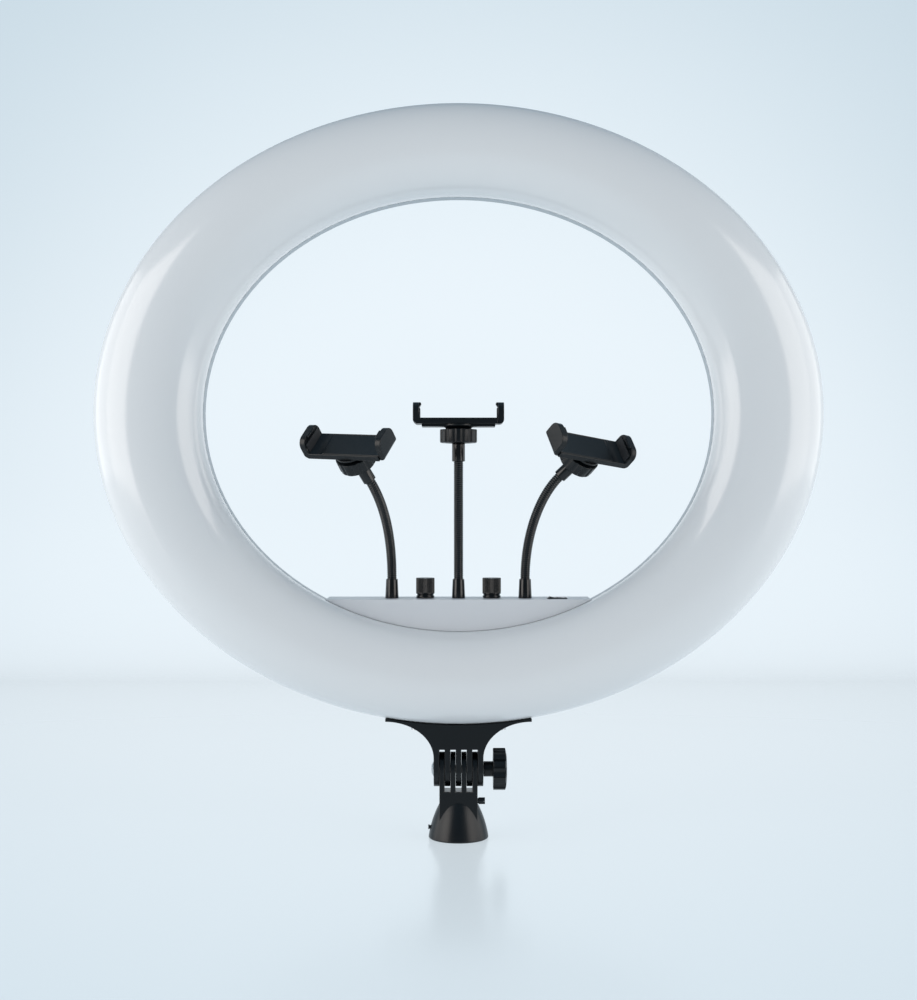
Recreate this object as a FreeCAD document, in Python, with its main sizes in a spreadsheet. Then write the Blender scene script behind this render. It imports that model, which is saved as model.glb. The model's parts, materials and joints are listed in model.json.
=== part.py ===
import FreeCAD, Part
import math
import os
from types import SimpleNamespace

import Sketcher
from FreeCAD import Matrix, Placement, Rotation, Vector

# Selfie ring light on a short tilting stand socket, with three phone holders on goosenecks.
# Millimetres. +X is to the right as seen from the lit side, +Y points to the back of the
# ring, +Z is up. The origin is the centre of the socket's bottom face, in the mouth of the
# bore that takes a light stand's 16 mm spigot.

doc = FreeCAD.newDocument("selfie_ring_light")

driving_sizes = {
    # Oval ring: drawn as a round ring, then squeezed in height
    "ring_width": 560,
    "ring_height": 476,
    "tube_width": 83,
    "dome_skirt": 6,
    "dome_rise": 27,
    "dome_wall": 2,
    "housing_depth": 15,
    "housing_wall": 2.5,
    "housing_corner": 4,
    # Board that carries the light sources, on standoffs in the rear housing
    "board_inset": 14,
    "board_thickness": 1.6,
    "board_setback": 3,
    "standoff_radius": 3.2,
    "standoff_count": 8,
    "led_length": 3.5,
    "led_breadth": 2.8,
    "led_thickness": 0.8,
    "led_row_offset": 12,
    "leds_per_row": 60,
    "led_stagger": 3,
    # Screws of the ring: shells, board and bracket
    "shell_screw_count": 12,
    "post_inset": 8.4,
    "post_radius": 3.4,
    "post_bore": 8.5,
    "boss_radius": 3.8,
    "screw_radius": 1.5,
    "screw_head_radius": 2.7,
    "screw_head_height": 1.8,
    "screw_length": 18,
    "screw_play": 0.02,
    "hole_play": 0.1,
    "recess_play": 0.3,
    "board_screw_radius": 1.25,
    "board_screw_head": 2.3,
    "board_screw_head_height": 1.2,
    "board_screw_length": 6,
    # Control box that closes the foot of the ring's hole
    "panel_drop": 142.8,
    "box_front": 4,
    "box_depth": 36.5,
    "box_wall": 2.5,
    "seat_gap": 0.15,
    "cover_thickness": 2.5,
    "cover_screw_inner": 39,
    "cover_screw_inset": 22.5,
    "cover_screw_drop": 7.9,
    "cover_screw_length": 14,
    "cover_screw_head_height": 1.08,
    "box_boss_radius": 3.2,
    "peg_inset": 4,
    "peg_radius": 1.8,
    "peg_pin_radius": 0.9,
    "peg_pin_rise": 0.8,
    # Circuit board and what it carries
    "circuit_length": 66,
    "circuit_height": 12,
    "circuit_thickness": 1.6,
    "circuit_gap": 4.9,
    "circuit_top_drop": 4.7,
    "parts_play": 0.8,
    "inductor_place": -16,
    "inductor_radius": 3.6,
    "inductor_bore": 1.4,
    "first_chip_place": -6,
    "second_chip_place": 2,
    "chip_length": 5,
    "chip_breadth": 4,
    "chip_thickness": 1.6,
    "plug_place": 10,
    "plug_length": 8,
    "plug_breadth": 6,
    "plug_thickness": 2,
    "capacitor_place": 23,
    "capacitor_radius": 2.4,
    # Lead that feeds the light board
    "lead_radius": 1.25,
    "lead_bend": 8,
    "lead_foot": 2.5,
    "lead_overlap": 4.1,
    "lead_play": 0.5,
    "lead_lift": 0.05,
    # Turning knobs and their potentiometers
    "knob_place": 25.9,
    "knob_radius": 7.2,
    "knob_height": 12.4,
    "knob_waist_radius": 6.4,
    "knob_waist_height": 1.7,
    "knob_foot_radius": 7.05,
    "knob_foot_height": 1.6,
    "knob_lift": 0.3,
    "knob_flutes": 18,
    "knob_flute_radius": 0.55,
    "knob_flute_start": 1.2,
    "knob_slope": 0.4,
    "knob_round": 0.8,
    "knob_roof": 2.38,
    "mark_width": 0.8,
    "mark_depth": 0.5,
    "mark_margin": 0.6,
    "shaft_radius": 3,
    "shaft_play": 0.05,
    "pot_radius": 8.5,
    "pot_height": 7,
    "bushing_radius": 3.5,
    "bushing_rise": 2,
    "bushing_clearance": 0.6,
    "pot_floor": 1.5,
    "pot_leg_pitch": 2.4,
    "pot_leg_width": 1.2,
    "pot_leg_thickness": 0.5,
    # Power rocker
    "rocker_inset": 26,
    "rocker_back": 8.8,
    "rocker_length": 12.6,
    "rocker_breadth": 8.2,
    "rocker_tip_rise": 1.5,
    "rocker_tilt": 4.5,
    "rocker_sink": 0.2,
    "rocker_belly": 1,
    "rocker_belly_half": 2,
    "rocker_end_play": 0.35,
    "rocker_side_play": 0.2,
    "rocker_pin_radius": 0.8,
    "rocker_pin_reach": 0.4,
    "rocker_pin_play": 0.05,
    "switch_wall": 0.6,
    "switch_depth": 5.6,
    "switch_well": 1.4,
    "switch_floor": 0.8,
    "switch_well_half": 3.4,
    "switch_well_margin": 0.9,
    "bezel_flange": 0.5,
    "bezel_height": 0.8,
    # Power inlet
    "inlet_place": 51,
    "inlet_drop": 9.4,
    "inlet_radius": 4.2,
    "inlet_bore": 3.2,
    "inlet_pin": 1.05,
    "inlet_depth": 11,
    "inlet_floor": 1.5,
    "inlet_pin_drop": 1,
    "inlet_flange_radius": 5.4,
    "inlet_flange_height": 1,
    # Gooseneck holders
    "neck_place": 52,
    "neck_radius": 3.75,
    "neck_root_radius": 3.4,
    "neck_bore": 1.8,
    "rib_pitch": 1.65,
    "neck_end_play": 0.1,
    "neck_play": 0.05,
    "foot_top_radius": 4.55,
    "foot_radius": 5.2,
    "foot_height": 14.9,
    "ferrule_edge": 0.3,
    "neck_insertion": 10,
    "stud_radius": 3,
    "stud_length": 6.6,
    "nut_flats": 10,
    "nut_height": 3,
    "ferrule_radius": 5.05,
    "ferrule_length": 14.8,
    "ball_radius": 6,
    "ball_neck_radius": 3.2,
    "shoulder_drop": 7.2,
    "ball_play": 0.05,
    # Lock collar round the ball socket
    "collar_radius": 14.6,
    "collar_above": 3,
    "collar_below": 7.6,
    "collar_flutes": 14,
    "collar_flute_radius": 2.2,
    "collar_flute_depth": 0.9,
    "collar_round": 1.6,
    "collar_edge": 0.6,
    "collar_mouth_radius": 11,
    "collar_ledge_radius": 8.4,
    "collar_ledge_drop": 2.9,
    "socket_radius": 9.6,
    "socket_lip_drop": 2.4,
    "socket_waist_radius": 10.3,
    "socket_waist_rise": 4.2,
    "socket_flare_radius": 13.5,
    "socket_flare_edge": 0.8,
    "socket_slit": 1.2,
    "thread_play": 0.05,
    # Phone clamp: plate, jaws, springs and pads
    "plate_rise": 7,
    "plate_thickness": 4.7,
    "clamp_length": 70.8,
    "clamp_breadth": 23.6,
    "channel_wall": 1,
    "jaw_thickness": 4.7,
    "jaw_height": 17,
    "jaw_round": 7,
    "jaw_lip": 1.6,
    "jaw_lip_height": 4,
    "jaw_lip_nose": 0.8,
    "jaw_travel": 28,
    "slide_play": 0.2,
    "tongue_thickness": 1.4,
    "tongue_length": 50,
    "keel_breadth": 5,
    "keel_length": 8,
    "crossbar_play": 0.6,
    "crossbar_length": 3.5,
    "chamber_roof": 0.5,
    "cover_breadth": 19,
    "cover_length": 57,
    "cover_side_rim": 1.3,
    "cover_end_rim": 2.5,
    "cover_plate": 2.1,
    "spring_play": 0.13,
    "spring_wire": 0.22,
    "spring_turns": 12,
    "spring_place": 5.2,
    "pad_thickness": 0.7,
    "pad_margin": 2.2,
    "pad_lift": 0.5,
    "pad_headroom": 0.4,
    # Where each phone holder is bent to in the photograph: its ball from the neck's foot on the
    # panel, the way its ferrule leans, and how its clamp is turned
    "left_ball_x": -25.5,
    "left_ball_y": -49.25,
    "left_ball_z": 109.4,
    "left_lean": 33.4,
    "left_azimuth": 25.9,
    "left_lift": 39.3,
    "left_reach": 17.5,
    "left_yaw": -29.5,
    "left_pitch": 2.6,
    "left_roll": 45,
    "left_turn": 0,
    "centre_ball_x": 0,
    "centre_ball_y": 0,
    "centre_ball_z": 128.7,
    "centre_lean": 0,
    "centre_azimuth": 0,
    "centre_lift": 30,
    "centre_reach": 30,
    "centre_yaw": 0,
    "centre_pitch": 0,
    "centre_roll": 0,
    "centre_turn": 0,
    "right_ball_x": 40.8,
    "right_ball_y": -30.65,
    "right_ball_z": 109.5,
    "right_lean": 47,
    "right_azimuth": 166,
    "right_lift": 36.1,
    "right_reach": 19.7,
    "right_yaw": 33.5,
    "right_pitch": 7.2,
    "right_roll": 51.8,
    "right_turn": 180,
    # Tilting hinge between the stand socket and the ring's bracket
    "pivot_height": 52.8,
    "finger_radius": 13.2,
    "finger_pitch": 8.45,
    "finger_thickness": 4.3,
    "finger_play": 0.15,
    "bolt_radius": 3,
    "bolt_play": 0.05,
    "bolt_head_radius": 5.4,
    "bolt_head_height": 1.9,
    "bolt_head_edge": 0.4,
    "upper_slot_room": 3.5,
    "lower_slot_front": 2.2,
    "lower_slot_back": 3.9,
    "bracket_rise": 35.7,
    "saddle_gap": 0.02,
    "wing_half_width": 56,
    "wing_tip_thickness": 2.4,
    "flank_foot": 10.2,
    "bracket_screw_place": 33,
    "bracket_screw_back": 4.5,
    "bracket_screw_radius": 2,
    "bracket_screw_head": 3.6,
    "bracket_screw_head_height": 2.6,
    "bracket_screw_seat": 5,
    "bracket_boss_radius": 4.2,
    "bracket_boss_height": 6.5,
    # Stand socket
    "base_radius": 23.1,
    "base_chamfer": 0.8,
    "flare_top": 29,
    "flare_top_radius": 13.2,
    "flare_bulge": 78,
    "socket_bore": 8.05,
    "socket_depth": 32,
    "lock_screw_height": 28.2,
    "lock_screw_radius": 2.6,
    "lock_screw_tip": 20.4,
    "lock_screw_stand_off": 0.8,
    "lock_slot_width": 0.8,
    "lock_slot_depth": 1.2,
    "lock_thread_radius": 2,
    "side_screw_height": 8.1,
    "side_screw_radius": 1.8,
    "side_screw_tip": 23.3,
    "side_screw_head": 0.9,
    "side_thread_radius": 1.4,
    "screw_tip_play": 0.3,
    # Tilt knob on the hinge bolt
    "tilt_knob_gap": 0.3,
    "hub_radius": 5.9,
    "hub_length": 7.3,
    "head_radius": 16.5,
    "head_length": 10.8,
    "head_dome": 3.6,
    "head_edge": 1,
    "head_bulge": 6,
    "head_crown": 3.4,
    "head_crown_drop": 0.9,
    "lobe_count": 8,
    "lobe_cut_radius": 4.6,
    "lobe_cut_depth": 3.4,
    "insert_radius": 4.3,
    "insert_length": 11,
    "insert_start": 3,
    "insert_end_play": 0.6,
    "knob_bolt_play": 0.2,
}

# Sizes that follow from the driving ones
worked_out = {
    "squeeze": "sizes.ring_height / sizes.ring_width",
    "rim": "sizes.ring_width / 2",
    "hole": "sizes.ring_width / 2 - sizes.tube_width",
    "ring_z": "sizes.pivot_height + sizes.bracket_rise + sizes.ring_height / 2",
    "panel_z": "ring_z - sizes.panel_drop",
    "box_rim": "hole - sizes.seat_gap",
    "box_half": "sqrt(box_rim ^ 2 - (sizes.panel_drop / squeeze) ^ 2)",
    "cover_screw_row": "(sizes.panel_drop + sizes.cover_screw_drop) / squeeze",
    "cover_screw_outer": "sqrt(box_rim ^ 2 - cover_screw_row ^ 2) - sizes.cover_screw_inset",
    "rocker_place": "box_half - sizes.rocker_inset",
    "box_back": "sizes.box_depth - sizes.box_front",
    "cover_y": "box_back - sizes.cover_thickness",
    "box_y": "sizes.box_depth / 2 - sizes.box_front",
    "ceiling_z": "panel_z - sizes.box_wall",
    "circuit_y": "cover_y - sizes.circuit_gap - sizes.circuit_thickness",
    "cover_screw_z": "panel_z - sizes.cover_screw_drop",
    "inlet_z": "panel_z - sizes.inlet_drop",
    "lower_gap": "sizes.finger_pitch - sizes.finger_thickness",
    "yoke_width": "3 * sizes.finger_pitch + lower_gap - 2 * sizes.finger_play",
    "hinge_width": "4 * sizes.finger_pitch + sizes.finger_thickness",
    "knob_start": "hinge_width / 2 + sizes.tilt_knob_gap",
    "knob_top": "sizes.knob_lift + sizes.knob_foot_height + sizes.knob_waist_height + sizes.knob_height",
    "plate_top": "sizes.plate_rise + sizes.plate_thickness",
    "floor_top": "plate_top - sizes.tongue_thickness - sizes.slide_play",
    "clamp_end": "sizes.clamp_length / 2",
    "jaw_face": "sizes.clamp_length / 2 - sizes.jaw_thickness",
    "jaw_breadth": "sizes.clamp_breadth - 2 * (sizes.channel_wall + sizes.slide_play)",
    "chamber_depth": "floor_top - sizes.chamber_roof - sizes.plate_rise",
    "chamber_length": "sizes.cover_length - 2 * sizes.cover_end_rim",
    "chamber_breadth": "sizes.cover_breadth - 2 * sizes.cover_side_rim",
    "crossbar_breadth": "chamber_breadth - 2 * sizes.crossbar_play",
    "spring_radius": "chamber_depth / 2 - sizes.spring_wire - sizes.spring_play",
    "switch_half": "sizes.rocker_length / 2 + sizes.rocker_end_play + sizes.switch_wall",
    "switch_deep": "sizes.rocker_breadth / 2 + sizes.rocker_side_play + sizes.switch_wall",
    "upper_slot_top": "sizes.pivot_height + sizes.finger_radius + sizes.upper_slot_room",
}

sizes = doc.addObject("Spreadsheet::Sheet", "sizes")
for row, (alias, value) in enumerate(driving_sizes.items(), start=1):
    sizes.set(f"A{row}", alias)
    sizes.set(f"B{row}", str(value))
    sizes.setAlias(f"B{row}", alias)
doc.recompute()

places = doc.addObject("Spreadsheet::Sheet", "places")
for row, (alias, formula) in enumerate(worked_out.items(), start=1):
    places.set(f"A{row}", alias)
    places.set(f"B{row}", "=" + formula)
    places.setAlias(f"B{row}", alias)
doc.recompute()

size = SimpleNamespace(**{alias: float(sizes.get(alias)) for alias in driving_sizes})
place = SimpleNamespace(**{alias: float(places.get(alias)) for alias in worked_out})

X_AXIS = Vector(1, 0, 0)
Y_AXIS = Vector(0, 1, 0)
Z_AXIS = Vector(0, 0, 1)
ALONG = {"X": Rotation(Y_AXIS, 90), "Y": Rotation(X_AXIS, -90), "Z": Rotation()}
LONG_ENOUGH = "sizes.ring_width"
sub_parts = {}


# Helpers for PartDesign bodies; every size is an expression on the sheets

def bind(thing, **expressions):
    for path, expression in expressions.items():
        thing.setExpression(path.replace("__", "."), expression)


def number(expression):
    value = places.evalExpression(expression)
    return float(getattr(value, "Value", value))


def new_body(name):
    body = doc.addObject("PartDesign::Body", name)
    sub_parts[name] = body
    return body


def primitive(body, kind, x, y, z, along="Z", **lengths):
    thing = body.newObject(kind, f"{body.Name}_{kind.split('::')[1]}")
    thing.Placement = Placement(Vector(), ALONG[along])
    bind(thing, Placement__Base__x=x, Placement__Base__y=y, Placement__Base__z=z, **lengths)
    return thing


def add_box(body, x, y, z, length, width, height):
    return primitive(body, "PartDesign::AdditiveBox", x, y, z, Length=length, Width=width, Height=height)


def cut_box(body, x, y, z, length, width, height):
    return primitive(body, "PartDesign::SubtractiveBox", x, y, z, Length=length, Width=width, Height=height)


def add_bar(body, x, y, z, radius, length, along="Z"):
    return primitive(body, "PartDesign::AdditiveCylinder", x, y, z, along, Radius=radius, Height=length)


def cut_bar(body, x, y, z, radius, length, along="Z"):
    return primitive(body, "PartDesign::SubtractiveCylinder", x, y, z, along, Radius=radius, Height=length)


def sketch_on(body, plane, offset=None):
    sketch = body.newObject("Sketcher::SketchObject", f"{body.Name}_sketch")
    support = next(feature for feature in body.Origin.OriginFeatures if feature.Role == plane)
    sketch.AttachmentSupport = (support, [""])
    sketch.MapMode = "FlatFace"
    if offset:
        bind(sketch, AttachmentOffset__Base__z=offset)
    return sketch


def dimension(sketch, kind, expression, *where):
    index = sketch.addConstraint(Sketcher.Constraint(kind, *where, number(expression)))
    sketch.setExpression(f"Constraints[{index}]", expression)


def pin_down(sketch, geometry, end, x, y):
    dimension(sketch, "DistanceX", x, -1, 1, geometry, end)
    dimension(sketch, "DistanceY", y, -1, 1, geometry, end)


# A closed outline through corners (x, y). A third entry bends the side after that corner
# into an arc of that radius, bulging to the right of the way it runs.
def outline(sketch, corners):
    points = [Vector(number(corner[0]), number(corner[1]), 0) for corner in corners]
    ends = []
    for index, corner in enumerate(corners):
        start = points[index]
        finish = points[(index + 1) % len(points)]
        if len(corner) == 2:
            ends.append((sketch.addGeometry(Part.LineSegment(start, finish), False), 1, 2))
            continue
        radius = number(corner[2])
        chord = finish - start
        way = Vector(chord.y, -chord.x, 0).normalize()
        reach = math.sqrt(max(radius**2 - (chord.Length / 2) ** 2, 0))
        centre = (start + finish) * 0.5 - way * reach
        angles = [math.atan2(point.y - centre.y, point.x - centre.x) for point in (start, finish)]
        round_edge = Part.Circle(centre, Z_AXIS, radius)
        arc = Part.ArcOfCircle(round_edge, angles[0], angles[1])
        ends.append((sketch.addGeometry(arc, False), 1, 2))
    for index, corner in enumerate(corners):
        geometry, first, last = ends[index]
        following = ends[(index + 1) % len(ends)]
        sketch.addConstraint(Sketcher.Constraint("Coincident", geometry, last, following[0], following[1]))
        pin_down(sketch, geometry, first, corner[0], corner[1])
        if len(corner) == 3:
            dimension(sketch, "Radius", corner[2], geometry)
    return sketch


def pad(body, sketch, length, midplane=False):
    feature = body.newObject("PartDesign::Pad", f"{body.Name}_pad")
    feature.Profile = sketch
    feature.Midplane = midplane
    bind(feature, Length=length)


# A turned piece: half its section, right of the Z axis, carried round that axis
def turn(body, corners):
    sketch = outline(sketch_on(body, "XZ_Plane"), corners)
    feature = body.newObject("PartDesign::Revolution", f"{body.Name}_turned")
    feature.Profile = sketch
    feature.ReferenceAxis = (sketch, ["V_Axis"])
    feature.Angle = 360


def repeat_round(body, feature, count):
    pattern = body.newObject("PartDesign::PolarPattern", f"{body.Name}_pattern")
    pattern.Originals = [feature]
    axis = next(item for item in body.Origin.OriginFeatures if item.Role == "Z_Axis")
    pattern.Axis = (axis, [""])
    pattern.Angle = 360
    bind(pattern, Occurrences=count)
    body.Tip = pattern
    doc.recompute()


# Helpers for shapes that sketches don't fit: the squeezed ring, bent necks and coils

def keep_shape(name, shape, where=None):
    feature = doc.addObject("Part::Feature", name)
    feature.Shape = shape
    if where:
        feature.Placement = where
    sub_parts[name] = feature


def bar(radius, start, way, length):
    return Part.makeCylinder(radius, length, start, way)


def slab(x0, x1, y0, y1, z0, z1):
    return Part.makeBox(x1 - x0, y1 - y0, z1 - z0, Vector(x0, y0, z0))


# A quarter of an ellipse from start to end, tangent to both legs of its corner
def quarter_oval(start, corner, end):
    curve = Part.BezierCurve()
    curve.setPoles([start, corner, end])
    curve.setWeight(2, math.sqrt(0.5))
    return curve.toShape()


def face_of(edges):
    return Part.Face(Part.Wire(edges))


# A round ring about the Y axis made oval and lifted to the ring's centre
def squeezed(shape):
    matrix = Matrix()
    matrix.scale(1, 1, place.squeeze)
    oval = shape.transformGeometry(matrix)
    oval.translate(Vector(0, 0, place.ring_z))
    return oval


def round_ring(section):
    return squeezed(section.revolve(Vector(), Y_AXIS, 360))


# Section of the domed front: straight skirts, then half an ellipse
def dome_section(inset):
    inner = place.hole + inset
    outer = place.rim - inset
    middle = (inner + outer) / 2
    skirt = -size.dome_skirt
    crest = skirt - size.dome_rise + inset
    seam = 0.0 if inset == 0 else 1.0
    edges = [
        Part.makeLine(Vector(inner, seam, 0), Vector(inner, skirt, 0)),
        quarter_oval(Vector(inner, skirt, 0), Vector(inner, crest, 0), Vector(middle, crest, 0)),
        quarter_oval(Vector(middle, crest, 0), Vector(outer, crest, 0), Vector(outer, skirt, 0)),
        Part.makeLine(Vector(outer, skirt, 0), Vector(outer, seam, 0)),
        Part.makeLine(Vector(outer, seam, 0), Vector(inner, seam, 0)),
    ]
    return face_of(edges)


# Section of the rear channel, with rounded corners at the back
def channel_section(inset):
    inner = place.hole + inset
    outer = place.rim - inset
    back = size.housing_depth - inset
    seam = 0.0 if inset == 0 else -1.0
    bend = max(size.housing_corner - inset, 0.5)
    edges = [
        Part.makeLine(Vector(inner, seam, 0), Vector(inner, back - bend, 0)),
        quarter_oval(Vector(inner, back - bend, 0), Vector(inner, back, 0), Vector(inner + bend, back, 0)),
        Part.makeLine(Vector(inner + bend, back, 0), Vector(outer - bend, back, 0)),
        quarter_oval(Vector(outer - bend, back, 0), Vector(outer, back, 0), Vector(outer, back - bend, 0)),
        Part.makeLine(Vector(outer, back - bend, 0), Vector(outer, seam, 0)),
        Part.makeLine(Vector(outer, seam, 0), Vector(inner, seam, 0)),
    ]
    return face_of(edges)


# Points on an oval that runs round the ring at a given radius of the unsqueezed ring
def points_round(radius, count, first_angle, y):
    points = []
    for index in range(count):
        angle = math.radians(first_angle + 360 * index / count)
        points.append(
            Vector(radius * math.cos(angle), y, place.ring_z + place.squeeze * radius * math.sin(angle))
        )
    return points


mid_radius = (place.rim + place.hole) / 2
board_y = size.board_setback
board_back = board_y + size.board_thickness
lead_y = board_back + size.lead_radius + size.lead_lift
hole_foot = place.ring_z - place.squeeze * place.hole
shell_screw_points = points_round(
    place.rim - size.post_inset, int(size.shell_screw_count), 180 / size.shell_screw_count, 0
)
standoff_points = points_round(mid_radius, int(size.standoff_count), 180 / size.standoff_count, 0)
bracket_screw_points = [
    Vector(side * size.bracket_screw_place, size.bracket_screw_back, 0) for side in (-1, 1)
]


# Height of the ring's outer edge above the floor at a place across the width
def ring_edge_z(x):
    return place.ring_z - size.ring_height / 2 * math.sqrt(1 - (x / place.rim) ** 2)


# The hole that lets the lead through the ring's inner wall and the foot of the control box
def lead_hole():
    reach = size.housing_wall + size.box_wall + 1
    return bar(size.lead_radius + size.lead_play, Vector(0, lead_y, hole_foot - reach), Z_AXIS, 2 * reach)


def make_rear_housing():
    shell = round_ring(channel_section(0)).cut(round_ring(channel_section(size.housing_wall)))
    depth = size.housing_depth
    bosses = [bar(size.boss_radius, point, Y_AXIS, depth - 1) for point in shell_screw_points]
    for point in standoff_points:
        foot = point + Vector(0, board_back, 0)
        bosses.append(bar(size.standoff_radius, foot, Y_AXIS, depth - board_back - 1))
    for point in bracket_screw_points:
        base = Vector(point.x, point.y, ring_edge_z(point.x) + 1)
        bosses.append(bar(size.bracket_boss_radius, base, Z_AXIS, size.bracket_boss_height))
    head_seat = depth - size.screw_head_height - size.recess_play
    holes = [lead_hole()]
    for point in shell_screw_points:
        before = point - Vector(0, 1, 0)
        holes.append(bar(size.screw_radius + size.screw_play, before, Y_AXIS, depth + 2))
        recess = point + Vector(0, head_seat, 0)
        holes.append(bar(size.screw_head_radius + size.recess_play, recess, Y_AXIS, depth))
    for point in standoff_points:
        start = point + Vector(0, board_back - 1, 0)
        deep = size.board_screw_length - size.board_thickness + 1.5
        holes.append(bar(size.board_screw_radius + size.screw_play, start, Y_AXIS, deep))
    for point in bracket_screw_points:
        base = Vector(point.x, point.y, ring_edge_z(point.x) - 2)
        radius = size.bracket_screw_radius + size.screw_play
        holes.append(bar(radius, base, Z_AXIS, size.bracket_boss_height + 5))
    keep_shape("rear_housing", shell.fuse(bosses).cut(holes))


def make_front_diffuser():
    dome = round_ring(dome_section(0))
    shell = dome.cut(round_ring(dome_section(size.dome_wall)))
    reach = size.dome_skirt + size.dome_rise
    posts = []
    holes = []
    for point in shell_screw_points:
        post = bar(size.post_radius, point - Vector(0, reach, 0), Y_AXIS, reach)
        posts.append(post.common(dome))
        deep = point - Vector(0, size.post_bore, 0)
        holes.append(bar(size.screw_radius + size.screw_play, deep, Y_AXIS, size.post_bore + 1))
    keep_shape("front_diffuser", shell.fuse(posts).cut(holes))


def make_led_board():
    ring_face = Part.Face(
        [
            Part.Wire(Part.makeCircle(place.rim - size.board_inset, Vector(0, board_y, 0), Y_AXIS)),
            Part.Wire(Part.makeCircle(place.hole + size.board_inset, Vector(0, board_y, 0), Y_AXIS)),
        ]
    )
    ring_face.validate()
    board = squeezed(ring_face.extrude(Vector(0, size.board_thickness, 0)))
    for point in standoff_points:
        start = point + Vector(0, board_y - 1, 0)
        radius = size.board_screw_radius + size.hole_play
        board = board.cut(bar(radius, start, Y_AXIS, size.board_thickness + 2))
    keep_shape("led_board", board)


def make_led_chips():
    chips = []
    for side in (-1, 1):
        radius = mid_radius + side * size.led_row_offset
        first = side * size.led_stagger
        for index, point in enumerate(points_round(radius, int(size.leds_per_row), first, 0)):
            chip = Part.makeBox(
                size.led_length,
                size.led_thickness,
                size.led_breadth,
                Vector(-size.led_length / 2, -size.led_thickness, -size.led_breadth / 2),
            )
            angle = first + 360 * index / size.leds_per_row
            chip.Placement = Placement(point + Vector(0, board_y, 0), Rotation(Y_AXIS, 90 - angle))
            chips.append(chip)
    keep_shape("led_chips", Part.makeCompound(chips))


# A plain screw: round head with a cross recess, and shank. It drives along +Y from its seat.
def screw_shape(head_radius, head_height, shank_radius, length):
    head = bar(head_radius, Vector(0, -head_height, 0), Y_AXIS, head_height)
    half_blade = head_radius * 0.16
    reach = head_radius * 0.6
    floor = -head_height * 0.45
    for turned in (0, 90):
        arm = slab(-reach, reach, -head_height - 1, floor, -half_blade, half_blade)
        arm.rotate(Vector(), Y_AXIS, turned)
        head = head.cut(arm)
    return head.fuse(bar(shank_radius, Vector(), Y_AXIS, length))


def screw_set(name, screw, seats, way):
    turned = Rotation(Y_AXIS, way)
    placed = []
    for seat in seats:
        one = screw.copy()
        one.Placement = Placement(seat, turned)
        placed.append(one)
    keep_shape(name, Part.makeCompound(placed))


def make_ring_screws():
    seat = size.housing_depth - size.screw_head_height - size.recess_play
    shell_screw = screw_shape(
        size.screw_head_radius, size.screw_head_height, size.screw_radius, size.screw_length
    )
    screw_set("housing_screws", shell_screw, [p + Vector(0, seat, 0) for p in shell_screw_points], -Y_AXIS)
    board_screw = screw_shape(
        size.board_screw_head, size.board_screw_head_height, size.board_screw_radius, size.board_screw_length
    )
    screw_set("board_screws", board_screw, [p + Vector(0, board_y, 0) for p in standoff_points], Y_AXIS)
    length = size.bracket_screw_seat + size.bracket_boss_height - 1
    bracket_screw = screw_shape(
        size.bracket_screw_head, size.bracket_screw_head_height, size.bracket_screw_radius, length
    )
    seats = [Vector(p.x, p.y, ring_edge_z(p.x) - size.bracket_screw_seat) for p in bracket_screw_points]
    screw_set("bracket_screws", bracket_screw, seats, Z_AXIS)


# The oval segment that fills the foot of the ring's hole, below a level top
def segment(inset, top, y0, y1):
    radius = place.box_rim - inset
    disc = Part.Face(Part.Wire(Part.makeCircle(radius, Vector(0, y0, 0), Y_AXIS)))
    oval = squeezed(disc.extrude(Vector(0, y1 - y0, 0)))
    return oval.common(slab(-place.rim, place.rim, y0, y1, 0, top))


cover_screw_points = [
    Vector(side * across, 0, place.cover_screw_z)
    for side in (-1, 1)
    for across in (size.cover_screw_inner, place.cover_screw_outer)
]


def make_control_box():
    front = -size.box_front
    shell = segment(0, place.panel_z, front, place.cover_y)
    hollow = segment(size.box_wall, place.ceiling_z, front + size.box_wall, place.cover_y + 1)
    shell = shell.cut(hollow)
    for point in cover_screw_points:
        start = Vector(point.x, front + 1, point.z)
        shell = shell.fuse(bar(size.box_boss_radius, start, Y_AXIS, place.cover_y - start.y))
        deep = place.cover_y - size.cover_screw_length
        hole = Vector(point.x, deep, point.z)
        shell = shell.cut(bar(size.screw_radius + size.screw_play, hole, Y_AXIS, size.cover_screw_length + 1))
    below = place.ceiling_z - 1
    for across in (-size.neck_place, 0, size.neck_place):
        start = Vector(across, place.box_y, below)
        hole = bar(size.stud_radius + size.hole_play, start, Z_AXIS, size.box_wall + 2)
        shell = shell.cut(hole)
    for across in (-size.knob_place, size.knob_place):
        start = Vector(across, place.box_y, below)
        hole = bar(size.bushing_radius + size.hole_play, start, Z_AXIS, size.box_wall + 2)
        shell = shell.cut(hole)
    half = place.switch_half + size.hole_play
    deep = place.switch_deep + size.hole_play
    shell = shell.cut(
        slab(
            place.rocker_place - half,
            place.rocker_place + half,
            size.rocker_back - deep,
            size.rocker_back + deep,
            below,
            place.panel_z + 1,
        )
    )
    keep_shape("control_box_shell", shell.cut(lead_hole()))


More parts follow.
